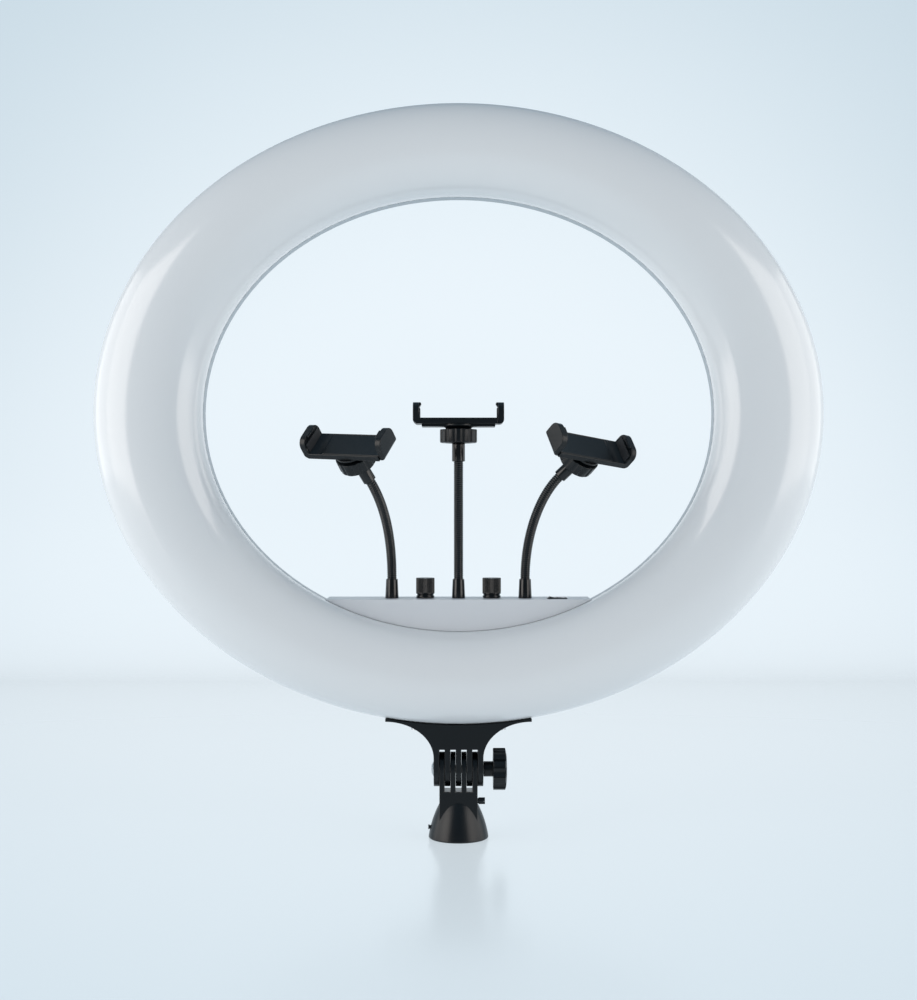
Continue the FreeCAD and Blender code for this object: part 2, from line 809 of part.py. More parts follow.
def make_control_box_back():
    cover = segment(0, place.panel_z, place.cover_y, place.box_back)
    for point in cover_screw_points:
        hole = Vector(point.x, place.cover_y - 1, point.z)
        cover = cover.cut(bar(size.screw_radius + size.hole_play, hole, Y_AXIS, size.cover_thickness + 2))
        recess = Vector(point.x, place.box_back - size.cover_screw_head_height, point.z)
        radius = size.screw_head_radius + size.recess_play
        cover = cover.cut(bar(radius, recess, Y_AXIS, size.cover_thickness))
    inlet = Vector(size.inlet_place, place.cover_y - 1, place.inlet_z)
    cover = cover.cut(bar(size.inlet_radius + size.hole_play, inlet, Y_AXIS, size.cover_thickness + 2))
    middle = place.panel_z - size.circuit_top_drop - size.circuit_height / 2
    for side in (-1, 1):
        across = side * (size.circuit_length / 2 - size.peg_inset)
        peg = Vector(across, place.circuit_y + size.circuit_thickness, middle)
        reach = place.cover_y - peg.y + size.cover_thickness / 2
        cover = cover.fuse(bar(size.peg_radius, peg, Y_AXIS, reach))
        pin_length = size.circuit_thickness + size.peg_pin_rise
        pin = peg - Vector(0, pin_length, 0)
        cover = cover.fuse(bar(size.peg_pin_radius, pin, Y_AXIS, pin_length + 1))
    keep_shape("control_box_back", cover)
    seat_y = place.box_back - size.cover_screw_head_height
    seats = [Vector(point.x, seat_y, point.z) for point in cover_screw_points]
    screw = screw_shape(
        size.screw_head_radius, size.cover_screw_head_height, size.screw_radius, size.cover_screw_length
    )
    screw_set("control_box_screws", screw, seats, -Y_AXIS)


def make_circuit():
    top = place.panel_z - size.circuit_top_drop
    bottom = top - size.circuit_height
    half = size.circuit_length / 2
    y0 = place.circuit_y
    y1 = y0 + size.circuit_thickness
    board = slab(-half, half, y0, y1, bottom, top)
    middle = (top + bottom) / 2
    for side in (-1, 1):
        hole = Vector(side * (half - size.peg_inset), y0 - 1, middle)
        radius = size.peg_pin_radius + size.screw_play
        board = board.cut(bar(radius, hole, Y_AXIS, size.circuit_thickness + 2))
    keep_shape("control_board", board)
    room = size.circuit_gap - size.parts_play
    foot = Vector(size.inductor_place, y1, middle)
    inductor = bar(size.inductor_radius, foot, Y_AXIS, room).cut(bar(size.inductor_bore, foot, Y_AXIS, room))

    def block(start, length, breadth, thickness):
        return slab(start, start + length, y1, y1 + thickness, middle - breadth / 2, middle + breadth / 2)

    parts = [
        inductor,
        block(size.first_chip_place, size.chip_length, size.chip_breadth, size.chip_thickness),
        block(size.second_chip_place, size.chip_length, size.chip_breadth, size.chip_thickness),
        block(size.plug_place, size.plug_length, size.plug_breadth, size.plug_thickness),
        bar(size.capacitor_radius, Vector(size.capacitor_place, y1, middle), Y_AXIS, room),
    ]
    keep_shape("driver_parts", Part.makeCompound(parts))


# The lead from the circuit board down through the wall to the light board's back
def make_led_lead():
    level = place.panel_z - size.circuit_top_drop - size.circuit_height + size.lead_foot
    start = Vector(0, place.circuit_y, level)
    corner = Vector(0, lead_y, level)
    end = Vector(0, lead_y, hole_foot - place.squeeze * size.board_inset - size.lead_overlap)
    bend = size.lead_bend
    before = corner + Vector(0, bend, 0)
    after = corner - Vector(0, 0, bend)
    centre = Vector(0, before.y, after.z)
    middle = centre + Vector(0, -1, 1).normalize() * bend
    path = Part.Wire(
        [
            Part.LineSegment(start, before).toShape(),
            Part.Arc(before, middle, after).toShape(),
            Part.LineSegment(after, end).toShape(),
        ]
    )
    section = Part.Wire(Part.makeCircle(size.lead_radius, start, Y_AXIS))
    lead = path.makePipeShell([section], True, False)
    expected = math.pi * size.lead_radius**2 * path.Length
    ratio = lead.Volume / expected
    print(f"led lead: bend radius {bend:.1f}, length {path.Length:.1f}, volume ratio {ratio:.4f}")
    keep_shape("led_lead", lead)


def make_potentiometer(name, across):
    body = new_body(f"{name}_pot")
    x = f"{across} * sizes.knob_place"
    drop = "(places.ceiling_z - sizes.pot_height)"
    add_bar(body, x, "places.box_y", drop, "sizes.pot_radius", "sizes.pot_height")
    rise = "sizes.pot_height + sizes.box_wall + sizes.bushing_rise"
    add_bar(body, x, "places.box_y", drop, "sizes.bushing_radius", rise)
    leg_start = "(places.box_y + sizes.pot_radius * 0.8)"
    leg_reach = f"places.circuit_y - sizes.screw_play - {leg_start}"
    width = "sizes.pot_leg_width"
    for leg in (-1, 0, 1):
        edge = f"{x} + {leg} * sizes.pot_leg_pitch - {width} / 2"
        add_box(body, edge, leg_start, f"{drop} + 1", width, leg_reach, "sizes.pot_leg_thickness")
    bore = "sizes.shaft_radius + sizes.shaft_play"
    cut_bar(body, x, "places.box_y", f"{drop} + sizes.pot_floor", bore, LONG_ENOUGH)


def make_knob(name, across):
    shaft = new_body(f"{name}_shaft")
    x = f"{across} * sizes.knob_place"
    start = "(places.ceiling_z - sizes.pot_height + sizes.pot_floor + sizes.hole_play)"
    reach = f"places.panel_z + places.knob_top - sizes.knob_roof - sizes.screw_play - {start}"
    add_bar(shaft, x, "places.box_y", start, "sizes.shaft_radius", reach)
    knob = new_body(f"{name}_knob")
    foot = "sizes.knob_lift"
    waist = "sizes.knob_lift + sizes.knob_foot_height"
    cap = f"{waist} + sizes.knob_waist_height"
    turn(
        knob,
        [
            ("0", foot),
            ("sizes.knob_foot_radius", foot),
            ("sizes.knob_foot_radius", waist),
            ("sizes.knob_waist_radius", f"{waist} + sizes.knob_slope"),
            ("sizes.knob_waist_radius", f"{cap} - sizes.knob_slope"),
            ("sizes.knob_radius", cap),
            ("sizes.knob_radius", "places.knob_top - sizes.knob_round", "sizes.knob_round"),
            ("sizes.knob_radius - sizes.knob_round", "places.knob_top"),
            ("0", "places.knob_top"),
        ],
    )
    room = "sizes.bushing_clearance"
    cut_bar(knob, "0", "0", "0", f"sizes.bushing_radius + {room}", f"sizes.bushing_rise + {room}")
    cut_bar(knob, "0", "0", "0", "sizes.shaft_radius + sizes.screw_play", "places.knob_top - sizes.knob_roof")
    flute_start = f"{cap} + sizes.knob_flute_start"
    flute_radius = "sizes.knob_flute_radius"
    flute = cut_bar(knob, "sizes.knob_radius", "0", flute_start, flute_radius, "sizes.knob_height")
    repeat_round(knob, flute, "sizes.knob_flutes")
    cut_box(
        knob,
        "-sizes.mark_width / 2",
        "sizes.mark_margin - sizes.knob_radius",
        "places.knob_top - sizes.mark_depth",
        "sizes.mark_width",
        "sizes.knob_radius * 0.6",
        "1",
    )
    bind(
        knob,
        Placement__Base__x=x,
        Placement__Base__y="places.box_y",
        Placement__Base__z="places.panel_z",
    )


def make_switch():
    bezel = new_body("switch_body")
    x = "places.rocker_place"
    y = "sizes.rocker_back"
    half = "places.switch_half"
    deep = "places.switch_deep"
    flange = "sizes.bezel_flange"
    add_box(
        bezel,
        f"{x} - {half} - {flange}",
        f"{y} - {deep} - {flange}",
        "places.panel_z",
        f"2 * ({half} + {flange})",
        f"2 * ({deep} + {flange})",
        "sizes.bezel_height",
    )
    floor = "places.panel_z - sizes.switch_depth"
    depth = "sizes.switch_depth"
    add_box(bezel, f"{x} - {half}", f"{y} - {deep}", floor, f"2 * {half}", f"2 * {deep}", depth)
    wall = "sizes.switch_wall"
    cut_box(
        bezel,
        f"{x} - {half} + {wall}",
        f"{y} - {deep} + {wall}",
        "places.panel_z - sizes.switch_well",
        f"2 * ({half} - {wall})",
        f"2 * ({deep} - {wall})",
        "sizes.switch_depth",
    )
    cut_box(
        bezel,
        f"{x} - sizes.switch_well_half",
        f"{y} - sizes.rocker_breadth / 2 + sizes.switch_well_margin",
        f"{floor} + sizes.switch_floor",
        "2 * sizes.switch_well_half",
        "sizes.rocker_breadth - 2 * sizes.switch_well_margin",
        "sizes.switch_depth",
    )
    pivot = "(places.panel_z - sizes.rocker_sink)"
    pin_half = "(sizes.rocker_breadth / 2 + sizes.rocker_pin_reach)"
    cut_bar(
        bezel,
        x,
        f"{y} - {pin_half} - sizes.hole_play",
        pivot,
        "sizes.rocker_pin_radius + sizes.rocker_pin_play",
        f"2 * ({pin_half} + sizes.hole_play)",
        "Y",
    )
    rocker = new_body("power_rocker")
    end = "sizes.rocker_length / 2"
    outline_sketch = outline(
        sketch_on(rocker, "XZ_Plane"),
        [
            (f"-{end}", "-sizes.rocker_sink"),
            ("-sizes.rocker_belly_half", "-sizes.rocker_belly"),
            ("sizes.rocker_belly_half", "-sizes.rocker_belly"),
            (end, "-sizes.rocker_sink"),
            (end, "sizes.rocker_tip_rise"),
            ("0", "sizes.rocker_tip_rise / 2"),
            (f"-{end}", "sizes.rocker_tip_rise"),
        ],
    )
    pad(rocker, outline_sketch, "sizes.rocker_breadth", midplane=True)
    add_bar(rocker, "0", f"-{pin_half}", "0", "sizes.rocker_pin_radius", f"2 * {pin_half}", "Y")
    rocker.Placement = Placement(Vector(), Rotation(Y_AXIS, size.rocker_tilt))
    bind(rocker, Placement__Base__x=x, Placement__Base__y=y, Placement__Base__z=pivot)


def make_inlet():
    inlet = new_body("dc_socket")
    x = "sizes.inlet_place"
    back = "places.box_back"
    start = f"{back} - sizes.inlet_depth"
    add_bar(inlet, x, start, "places.inlet_z", "sizes.inlet_radius", "sizes.inlet_depth", "Y")
    add_bar(inlet, x, back, "places.inlet_z", "sizes.inlet_flange_radius", "sizes.inlet_flange_height", "Y")
    cut_bar(inlet, x, f"{start} + sizes.inlet_floor", "places.inlet_z", "sizes.inlet_bore", LONG_ENOUGH, "Y")
    pin_length = "sizes.inlet_depth - sizes.inlet_pin_drop"
    add_bar(inlet, x, start, "places.inlet_z", "sizes.inlet_pin", pin_length, "Y")


def make_neck_nuts():
    radius = size.nut_flats / math.sqrt(3)
    nuts = []
    for across in (-size.neck_place, 0, size.neck_place):
        centre = Vector(across, place.box_y, place.ceiling_z - size.nut_height)
        corners = []
        for index in range(7):
            angle = math.radians(60 * index)
            corners.append(centre + Vector(radius * math.cos(angle), radius * math.sin(angle), 0))
        nut = Part.Face(Part.makePolygon(corners)).extrude(Vector(0, 0, size.nut_height))
        hole = bar(size.stud_radius + size.screw_play, centre - Vector(0, 0, 1), Z_AXIS, size.nut_height + 2)
        nuts.append(nut.cut(hole))
    keep_shape("neck_nuts", Part.makeCompound(nuts))


# Bracket under the ring: a finned hinge block that flares into a saddle wing
def make_bracket():
    half = place.hinge_width / 2
    depth = size.finger_radius
    tip = size.wing_half_width
    tip_z = ring_edge_z(tip) - size.wing_tip_thickness
    foot_z = size.pivot_height + size.flank_foot
    over = ring_edge_z(tip) + 10
    pivot = size.pivot_height

    def corner(x, z):
        return Vector(x, -depth, z)

    edges = [
        Part.makeLine(corner(-half, pivot), corner(half, pivot)),
        Part.makeLine(corner(half, pivot), corner(half, foot_z)),
        quarter_oval(corner(half, foot_z), corner(half, tip_z), corner(tip, tip_z)),
        Part.makeLine(corner(tip, tip_z), corner(tip, over)),
        Part.makeLine(corner(tip, over), corner(-tip, over)),
        Part.makeLine(corner(-tip, over), corner(-tip, tip_z)),
        quarter_oval(corner(-tip, tip_z), corner(-half, tip_z), corner(-half, foot_z)),
        Part.makeLine(corner(-half, foot_z), corner(-half, pivot)),
    ]
    block = face_of(edges).extrude(Vector(0, 2 * depth, 0))
    block = block.fuse(bar(depth, Vector(-half, 0, pivot), X_AXIS, 2 * half))
    rim = place.rim + size.saddle_gap
    disc = Part.Face(Part.Wire(Part.makeCircle(rim, Vector(0, -depth - 1, 0), Y_AXIS)))
    block = block.cut(squeezed(disc.extrude(Vector(0, 2 * depth + 2, 0))))
    gap = place.lower_gap
    for index in range(4):
        middle = (index - 1.5) * size.finger_pitch
        low = pivot - depth - 1
        slot = slab(middle - gap / 2, middle + gap / 2, -depth - 1, depth + 1, low, place.upper_slot_top)
        block = block.cut(slot)
    hole = bar(size.bolt_radius + size.bolt_play, Vector(-half - 1, 0, pivot), X_AXIS, 2 * half + 2)
    block = block.cut(hole)
    for point in bracket_screw_points:
        seat = Vector(point.x, point.y, ring_edge_z(point.x) - size.bracket_screw_seat)
        through = bar(size.bracket_screw_radius + size.hole_play, seat, Z_AXIS, 2 * size.bracket_screw_seat)
        reach = size.bracket_rise
        below = seat - Vector(0, 0, reach)
        recess = bar(size.bracket_screw_head + size.recess_play, below, Z_AXIS, reach)
        block = block.cut([through, recess])
    keep_shape("ring_bracket", block)


# Stand socket: four hinge fingers on a block that flares to a round foot, bored from below
def make_stand_socket():
    body = new_body("stand_socket")
    side = "-places.yoke_width / 2"
    add_box(
        body,
        side,
        "-sizes.finger_radius",
        "sizes.base_chamfer",
        "places.yoke_width",
        "2 * sizes.finger_radius",
        "sizes.pivot_height - sizes.base_chamfer",
    )
    add_bar(body, side, "0", "sizes.pivot_height", "sizes.finger_radius", "places.yoke_width", "X")
    turn(
        body,
        [
            ("0", "0"),
            ("sizes.base_radius - sizes.base_chamfer", "0"),
            ("sizes.base_radius", "sizes.base_chamfer", "sizes.flare_bulge"),
            ("sizes.flare_top_radius", "sizes.flare_top"),
            ("0", "sizes.flare_top"),
        ],
    )
    thickness = "(sizes.finger_thickness + 2 * sizes.finger_play)"
    root = "sizes.pivot_height - sizes.finger_radius"
    for index in (-1, 0, 1):
        middle = f"{index} * sizes.finger_pitch"
        slot = outline(
            sketch_on(body, "YZ_Plane", f"{middle} - {thickness} / 2"),
            [
                ("-sizes.finger_radius - 1", f"{root} - sizes.lower_slot_front"),
                ("sizes.finger_radius + 1", f"{root} - sizes.lower_slot_back"),
                ("sizes.finger_radius + 1", "sizes.pivot_height + sizes.finger_radius + 1"),
                ("-sizes.finger_radius - 1", "sizes.pivot_height + sizes.finger_radius + 1"),
            ],
        )
        feature = body.newObject("PartDesign::Pocket", "stand_socket_slot")
        feature.Profile = slot
        feature.Reversed = True
        bind(feature, Length=thickness)
    cut_bar(
        body,
        "-places.yoke_width / 2 - 1",
        "0",
        "sizes.pivot_height",
        "sizes.bolt_radius + sizes.bolt_play",
        "places.yoke_width + 2",
        "X",
    )
    cut_bar(body, "0", "0", "-1", "sizes.socket_bore", "sizes.socket_depth + 1")
    reach = "2 * sizes.base_radius"
    lock = "sizes.lock_thread_radius + sizes.screw_play"
    cut_bar(body, "0", "0", "sizes.lock_screw_height", lock, reach, "X")
    thread = "sizes.side_thread_radius + sizes.screw_play"
    cut_bar(body, f"-{reach}", "0", "sizes.side_screw_height", thread, reach, "X")


def make_socket_screws():
    lock = new_body("stand_lock_screw")
    tip = "sizes.lock_screw_tip"
    z = "sizes.lock_screw_height"
    radius = "sizes.lock_screw_radius"
    head = f"({tip} - places.yoke_width / 2 - sizes.lock_screw_stand_off)"
    add_bar(lock, f"{tip} - {head}", "0", z, radius, head, "X")
    start = "sizes.socket_bore + sizes.screw_tip_play"
    add_bar(lock, start, "0", z, "sizes.lock_thread_radius", f"{tip} - {head} / 2 - ({start})", "X")
    slot = "sizes.lock_slot_width"
    deep = "sizes.lock_slot_depth"
    cut_box(lock, f"{tip} - {deep}", f"-{radius}", f"{z} - {slot} / 2", f"2 * {deep}", f"2 * {radius}", slot)
    side = new_body("socket_side_screw")
    reach = "sizes.side_screw_tip - sizes.socket_bore - sizes.screw_tip_play"
    z = "sizes.side_screw_height"
    add_bar(side, "-sizes.side_screw_tip", "0", z, "sizes.side_thread_radius", reach, "X")
    add_bar(side, "-sizes.side_screw_tip", "0", z, "sizes.side_screw_radius", "sizes.side_screw_head", "X")


def make_hinge_bolt():
    bolt = new_body("hinge_bolt")
    end = "(places.knob_start + sizes.insert_start + sizes.insert_length)"
    start = "places.hinge_width / 2"
    turn(
        bolt,
        [
            ("0", f"-({start}) - sizes.bolt_head_height"),
            ("sizes.bolt_head_radius * 0.6", f"-({start}) - sizes.bolt_head_height * 0.86"),
            ("sizes.bolt_head_radius", f"-({start}) - sizes.bolt_head_edge"),
            ("sizes.bolt_head_radius", f"-({start})"),
            ("sizes.bolt_radius", f"-({start})"),
            ("sizes.bolt_radius", f"{end} - sizes.bolt_head_edge"),
            ("sizes.bolt_radius - sizes.bolt_head_edge", end),
            ("0", end),
        ],
    )
    bolt.Placement = Placement(Vector(0, 0, size.pivot_height), ALONG["X"])
    bind(bolt, Placement__Base__z="sizes.pivot_height")


def make_tilt_knob():
    knob = new_body("tilt_knob")
    whole = "sizes.hub_length + sizes.head_length"
    turn(
        knob,
        [
            ("0", "0"),
            ("sizes.hub_radius", "0"),
            ("sizes.hub_radius", "sizes.hub_length"),
            ("sizes.head_radius - sizes.head_edge", "sizes.hub_length"),
            ("sizes.head_radius", "sizes.hub_length + sizes.head_edge"),
            ("sizes.head_radius", f"{whole} - sizes.head_dome", "sizes.head_bulge"),
            ("sizes.head_radius - sizes.head_crown", f"{whole} - sizes.head_crown_drop"),
            ("sizes.head_radius * 0.45", whole),
            ("0", whole),
        ],
    )
    cutter_place = "sizes.head_radius + sizes.lobe_cut_radius - sizes.lobe_cut_depth"
    start = "sizes.hub_length - 1"
    lobe = cut_bar(knob, cutter_place, "0", start, "sizes.lobe_cut_radius", "sizes.head_length + 2")
    repeat_round(knob, lobe, "sizes.lobe_count")
    cut_bar(knob, "0", "0", "-1", "sizes.bolt_radius + sizes.knob_bolt_play", "sizes.insert_start + 2")
    seat = "sizes.insert_radius + sizes.screw_play"
    cut_bar(knob, "0", "0", "sizes.insert_start", seat, "sizes.insert_length + sizes.insert_end_play")
    insert = new_body("knob_insert")
    add_bar(insert, "0", "0", "sizes.insert_start", "sizes.insert_radius", "sizes.insert_length")
    bore = "sizes.bolt_radius + sizes.bolt_play"
    cut_bar(insert, "0", "0", "0", bore, LONG_ENOUGH)
    for piece in (knob, insert):
        piece.Placement = Placement(Vector(place.knob_start, 0, size.pivot_height), ALONG["X"])
        bind(piece, Placement__Base__x="places.knob_start", Placement__Base__z="sizes.pivot_height")


# Frame of one phone holder: where its ball sits and how its clamp and stud point
def holder_frame(side):
    def of(alias):
        return getattr(size, f"{side}_{alias}")

    across = {"left": -size.neck_place, "centre": 0, "right": size.neck_place}[side]
    ball = Vector(across, place.box_y, place.panel_z) + Vector(of("ball_x"), of("ball_y"), of("ball_z"))
    clamp_turn = Rotation(of("yaw"), of("pitch"), of("roll")).multiply(Rotation(Z_AXIS, of("turn")))
    lean = math.radians(of("lean"))
    azimuth = math.radians(of("azimuth"))
    down = Vector(
        math.sin(lean) * math.cos(azimuth), math.sin(lean) * math.sin(azimuth), -math.cos(lean)
    )
    foot = Vector(across, place.box_y, place.panel_z + size.foot_height)
    ferrule_mouth = ball + down * (size.shoulder_drop + size.ferrule_length)
    return SimpleNamespace(
        ball=ball,
        clamp=Placement(ball, clamp_turn),
        stud=Placement(ball, Rotation(Z_AXIS, down * -1)),
        down=down,
        foot=foot,
        mouth=ferrule_mouth,
        lift=of("lift"),
        reach=of("reach"),
    )


# A neck runs straight in both ferrules, with a cubic bend between them
def neck_stations(frame):
    poles = [
        frame.foot,
        frame.foot + Z_AXIS * frame.lift,
        frame.mouth + frame.down * frame.reach,
        frame.mouth,
    ]
    curve = Part.BezierCurve()
    curve.setPoles(poles)
    length = curve.length()
    ribs = int(length / size.rib_pitch)
    inserted = size.neck_insertion - size.neck_end_play
    stations = [(frame.foot - Z_AXIS * inserted, Z_AXIS, size.neck_radius)]
    step = length / ribs
    crest, root = size.neck_radius, size.neck_root_radius
    for rib in range(ribs):
        for share, radius in ((0, crest), (0.35, crest), (0.55, root), (0.8, root)):
            along = curve.parameterAtDistance((rib + share) * step, curve.FirstParameter)
            stations.append((curve.value(along), curve.tangent(along)[0], radius))
    up = frame.down * -1
    stations.append((frame.mouth, up, size.neck_radius))
    stations.append((frame.mouth + up * inserted, up, size.neck_radius))
    return stations


# A ruled loft through circles whose X axes all lie in one steady plane
def tube_through(stations):
    rings = []
    for point, way, radius in stations:
        sideways = Y_AXIS.cross(way).normalize()
        turned = Rotation(sideways, way.cross(sideways), way, "ZXY")
        ring = Part.makeCircle(radius)
        ring.Placement = Placement(point, turned)
        rings.append(Part.Wire(ring))
    return Part.makeLoft(rings, True, True)


def make_gooseneck(side, frame):
    stations = neck_stations(frame)
    outer = tube_through(stations)
    points = [stations[0], *stations[1:-1:4], stations[-1]]
    first, last = points[0], points[-1]
    points[0] = (first[0] - first[1], first[1], first[2])
    points[-1] = (last[0] + last[1], last[1], last[2])
    bore = tube_through([(point, way, size.neck_bore) for point, way, _ in points])
    keep_shape(f"{side}_gooseneck", outer.cut(bore))


def make_neck_ends(side, frame):
    foot = new_body(f"{side}_base_ferrule")
    turn(
        foot,
        [
            ("0", "-sizes.stud_length"),
            ("sizes.stud_radius", "-sizes.stud_length"),
            ("sizes.stud_radius", "0"),
            ("sizes.foot_radius - sizes.ferrule_edge", "0"),
            ("sizes.foot_radius", "sizes.ferrule_edge"),
            ("sizes.foot_top_radius", "sizes.foot_height - sizes.ferrule_edge"),
            ("sizes.foot_top_radius - sizes.ferrule_edge", "sizes.foot_height"),
            ("0", "sizes.foot_height"),
        ],
    )
    bore = "sizes.neck_radius + sizes.neck_play"
    cut_bar(foot, "0", "0", "sizes.foot_height - sizes.neck_insertion", bore, LONG_ENOUGH)
    foot.Placement = Placement(Vector(frame.foot.x, place.box_y, place.panel_z), Rotation())
    across = {"left": "-sizes.neck_place", "centre": "0", "right": "sizes.neck_place"}[side]
    bind(
        foot,
        Placement__Base__x=across,
        Placement__Base__y="places.box_y",
        Placement__Base__z="places.panel_z",
    )
    top = new_body(f"{side}_top_ferrule")
    shoulder = "-sizes.shoulder_drop"
    end = "-sizes.shoulder_drop - sizes.ferrule_length"
    turn(
        top,
        [
            ("0", end),
            ("sizes.ferrule_radius - sizes.ferrule_edge", end),
            ("sizes.ferrule_radius", f"{end} + sizes.ferrule_edge"),
            ("sizes.ferrule_radius", f"{shoulder} - 2 * sizes.ferrule_edge"),
            ("sizes.ferrule_radius - 2 * sizes.ferrule_edge", shoulder),
            ("sizes.ball_neck_radius", shoulder),
            ("sizes.ball_neck_radius", "-sizes.ball_neck_radius"),
            ("0", "-sizes.ball_neck_radius"),
        ],
    )
    primitive(top, "PartDesign::AdditiveSphere", "0", "0", "0", Radius="sizes.ball_radius")
    cut_bar(top, "0", "0", end, bore, "sizes.neck_insertion")
    top.Placement = frame.stud


def make_collar(side, frame):
    collar = new_body(f"{side}_lock_collar")
    low = "-sizes.collar_below"
    thread = "sizes.socket_radius + sizes.thread_play"
    turn(
        collar,
        [
            ("sizes.collar_mouth_radius", low),
            ("sizes.collar_radius - sizes.collar_round", low, "sizes.collar_round"),
            ("sizes.collar_radius", f"{low} + sizes.collar_round"),
            ("sizes.collar_radius", "sizes.collar_above - sizes.collar_edge"),
            ("sizes.collar_radius - sizes.collar_edge", "sizes.collar_above"),
            (thread, "sizes.collar_above"),
            (thread, "-sizes.collar_ledge_drop"),
            ("sizes.collar_ledge_radius", "-sizes.collar_ledge_drop"),
        ],
    )
    cutter_place = "sizes.collar_radius + sizes.collar_flute_radius - sizes.collar_flute_depth"
    height = "sizes.collar_above + sizes.collar_below + 2"
    flute = cut_bar(collar, cutter_place, "0", f"{low} - 1", "sizes.collar_flute_radius", height)
    repeat_round(collar, flute, "sizes.collar_flutes")
    collar.Placement = frame.clamp


# Bottom cover of the clamp with the slit ball socket that the collar squeezes
def make_clamp_cover(side, frame):
    cover = new_body(f"{side}_clamp_cover")
    base = "(sizes.plate_rise - sizes.cover_plate)"
    turn(
        cover,
        [
            ("0", "-sizes.socket_lip_drop"),
            ("sizes.socket_radius", "-sizes.socket_lip_drop"),
            ("sizes.socket_radius", "sizes.collar_above"),
            ("sizes.socket_waist_radius", "sizes.socket_waist_rise"),
            ("sizes.socket_flare_radius", f"{base} + sizes.socket_flare_edge"),
            ("sizes.socket_flare_radius", "sizes.plate_rise"),
            ("0", "sizes.plate_rise"),
        ],
    )
    add_box(
        cover,
        "-sizes.cover_length / 2",
        "-sizes.cover_breadth / 2",
        base,
        "sizes.cover_length",
        "sizes.cover_breadth",
        "sizes.cover_plate",
    )
    hollow = "sizes.ball_radius + sizes.ball_play"
    primitive(cover, "PartDesign::SubtractiveSphere", "0", "0", "0", Radius=hollow)
    slit_length = "2 * sizes.socket_radius + 2"
    slit_height = "sizes.socket_lip_drop + sizes.collar_above"
    low = "-sizes.socket_lip_drop - 0.5"
    half_slit = "-sizes.socket_slit / 2"
    half_length = "-sizes.socket_radius - 1"
    cut_box(cover, half_length, half_slit, low, slit_length, "sizes.socket_slit", slit_height)
    cut_box(cover, half_slit, half_length, low, "sizes.socket_slit", slit_length, slit_height)
    cover.Placement = frame.clamp


# One upright jaw: a rounded arm with a lip leaning in over the phone's edge
def add_jaw(body, breadth, sign):
    half = f"{breadth} / 2"
    top = "(sizes.plate_rise + sizes.jaw_height)"
    corner = "sizes.jaw_round"
    start = "places.jaw_face" if sign > 0 else "-places.clamp_end"
    arm = outline(
        sketch_on(body, "YZ_Plane", start),
        [
            (f"-{half}", "sizes.plate_rise"),
            (half, "sizes.plate_rise"),
            (half, f"{top} - {corner}", corner),
            (f"{half} - {corner}", top),
            (f"{corner} - {half}", top, corner),
            (f"-{half}", f"{top} - {corner}"),
        ],
    )
    pad(body, arm, "sizes.jaw_thickness")
    face = "places.jaw_face"
    lip = outline(
        sketch_on(body, "XZ_Plane"),
        [
            (f"{sign} * ({face} + 0.5)", f"{top} - sizes.jaw_lip_height"),
            (f"{sign} * ({face} + 0.5)", top),
            (f"{sign} * ({face} - sizes.jaw_lip + 0.5)", top),
            (f"{sign} * ({face} - sizes.jaw_lip)", f"{top} - sizes.jaw_lip_nose"),
            (f"{sign} * ({face} - sizes.jaw_lip)", f"{top} - 2 * sizes.jaw_lip_nose"),
            (f"{sign} * {face}", f"{top} - sizes.jaw_lip_height"),
        ],
    )
    pad(body, lip, f"{breadth} - 2 * {corner}", midplane=True)


def make_clamp_body(side, frame):
    body = new_body(f"{side}_clamp_body")
    half = "sizes.clamp_breadth / 2"
    end = "places.jaw_face - sizes.slide_play"
    add_box(
        body,
        "-places.clamp_end",
        f"-{half}",
        "sizes.plate_rise",
        f"places.clamp_end + {end}",
        "sizes.clamp_breadth",
        "sizes.plate_thickness",
    )
    add_jaw(body, "sizes.clamp_breadth", -1)
    channel_half = "(places.jaw_breadth / 2 + sizes.slide_play)"
    channel_start = "(places.jaw_face - sizes.tongue_length - sizes.slide_play)"
    cut_box(
        body,
        channel_start,
        f"-{channel_half}",
        "places.floor_top",
        LONG_ENOUGH,
        f"2 * {channel_half}",
        "sizes.plate_thickness",
    )
    cut_box(
        body,
        "-places.chamber_length / 2",
        "-places.chamber_breadth / 2",
        "sizes.plate_rise - 1",
        "places.chamber_length",
        "places.chamber_breadth",
        "places.chamber_depth + 1",
    )
    cut_box(
        body,
        f"{channel_start}",
        "-sizes.keel_breadth / 2 - sizes.slide_play",
        "sizes.plate_rise",
        "sizes.keel_length + sizes.jaw_travel + 2 * sizes.slide_play",
        "sizes.keel_breadth + 2 * sizes.slide_play",
        "sizes.plate_thickness",
    )
    body.Placement = frame.clamp


# Sliding jaw: its tongue runs in the plate's channel and its crossbar pushes on the springs
def make_clamp_jaw(side, frame):
    jaw = new_body(f"{side}_clamp_jaw")
    half = "places.jaw_breadth / 2"
    start = "(places.jaw_face - sizes.tongue_length)"
    add_box(
        jaw,
        start,
        f"-{half}",
        "places.plate_top - sizes.tongue_thickness",
        "sizes.tongue_length + sizes.jaw_thickness",
        "places.jaw_breadth",
        "sizes.tongue_thickness",
    )
    add_jaw(jaw, "places.jaw_breadth", 1)
    low = "(sizes.plate_rise + sizes.slide_play)"
    add_box(
        jaw,
        start,
        "-sizes.keel_breadth / 2",
        low,
        "sizes.keel_length",
        "sizes.keel_breadth",
        f"places.plate_top - {low} - sizes.tongue_thickness / 2",
    )
    add_box(
        jaw,
        start,
        "-places.crossbar_breadth / 2",
        low,
        "sizes.crossbar_length",
        "places.crossbar_breadth",
        "places.chamber_depth - 2 * sizes.slide_play",
    )
    jaw.Placement = frame.clamp


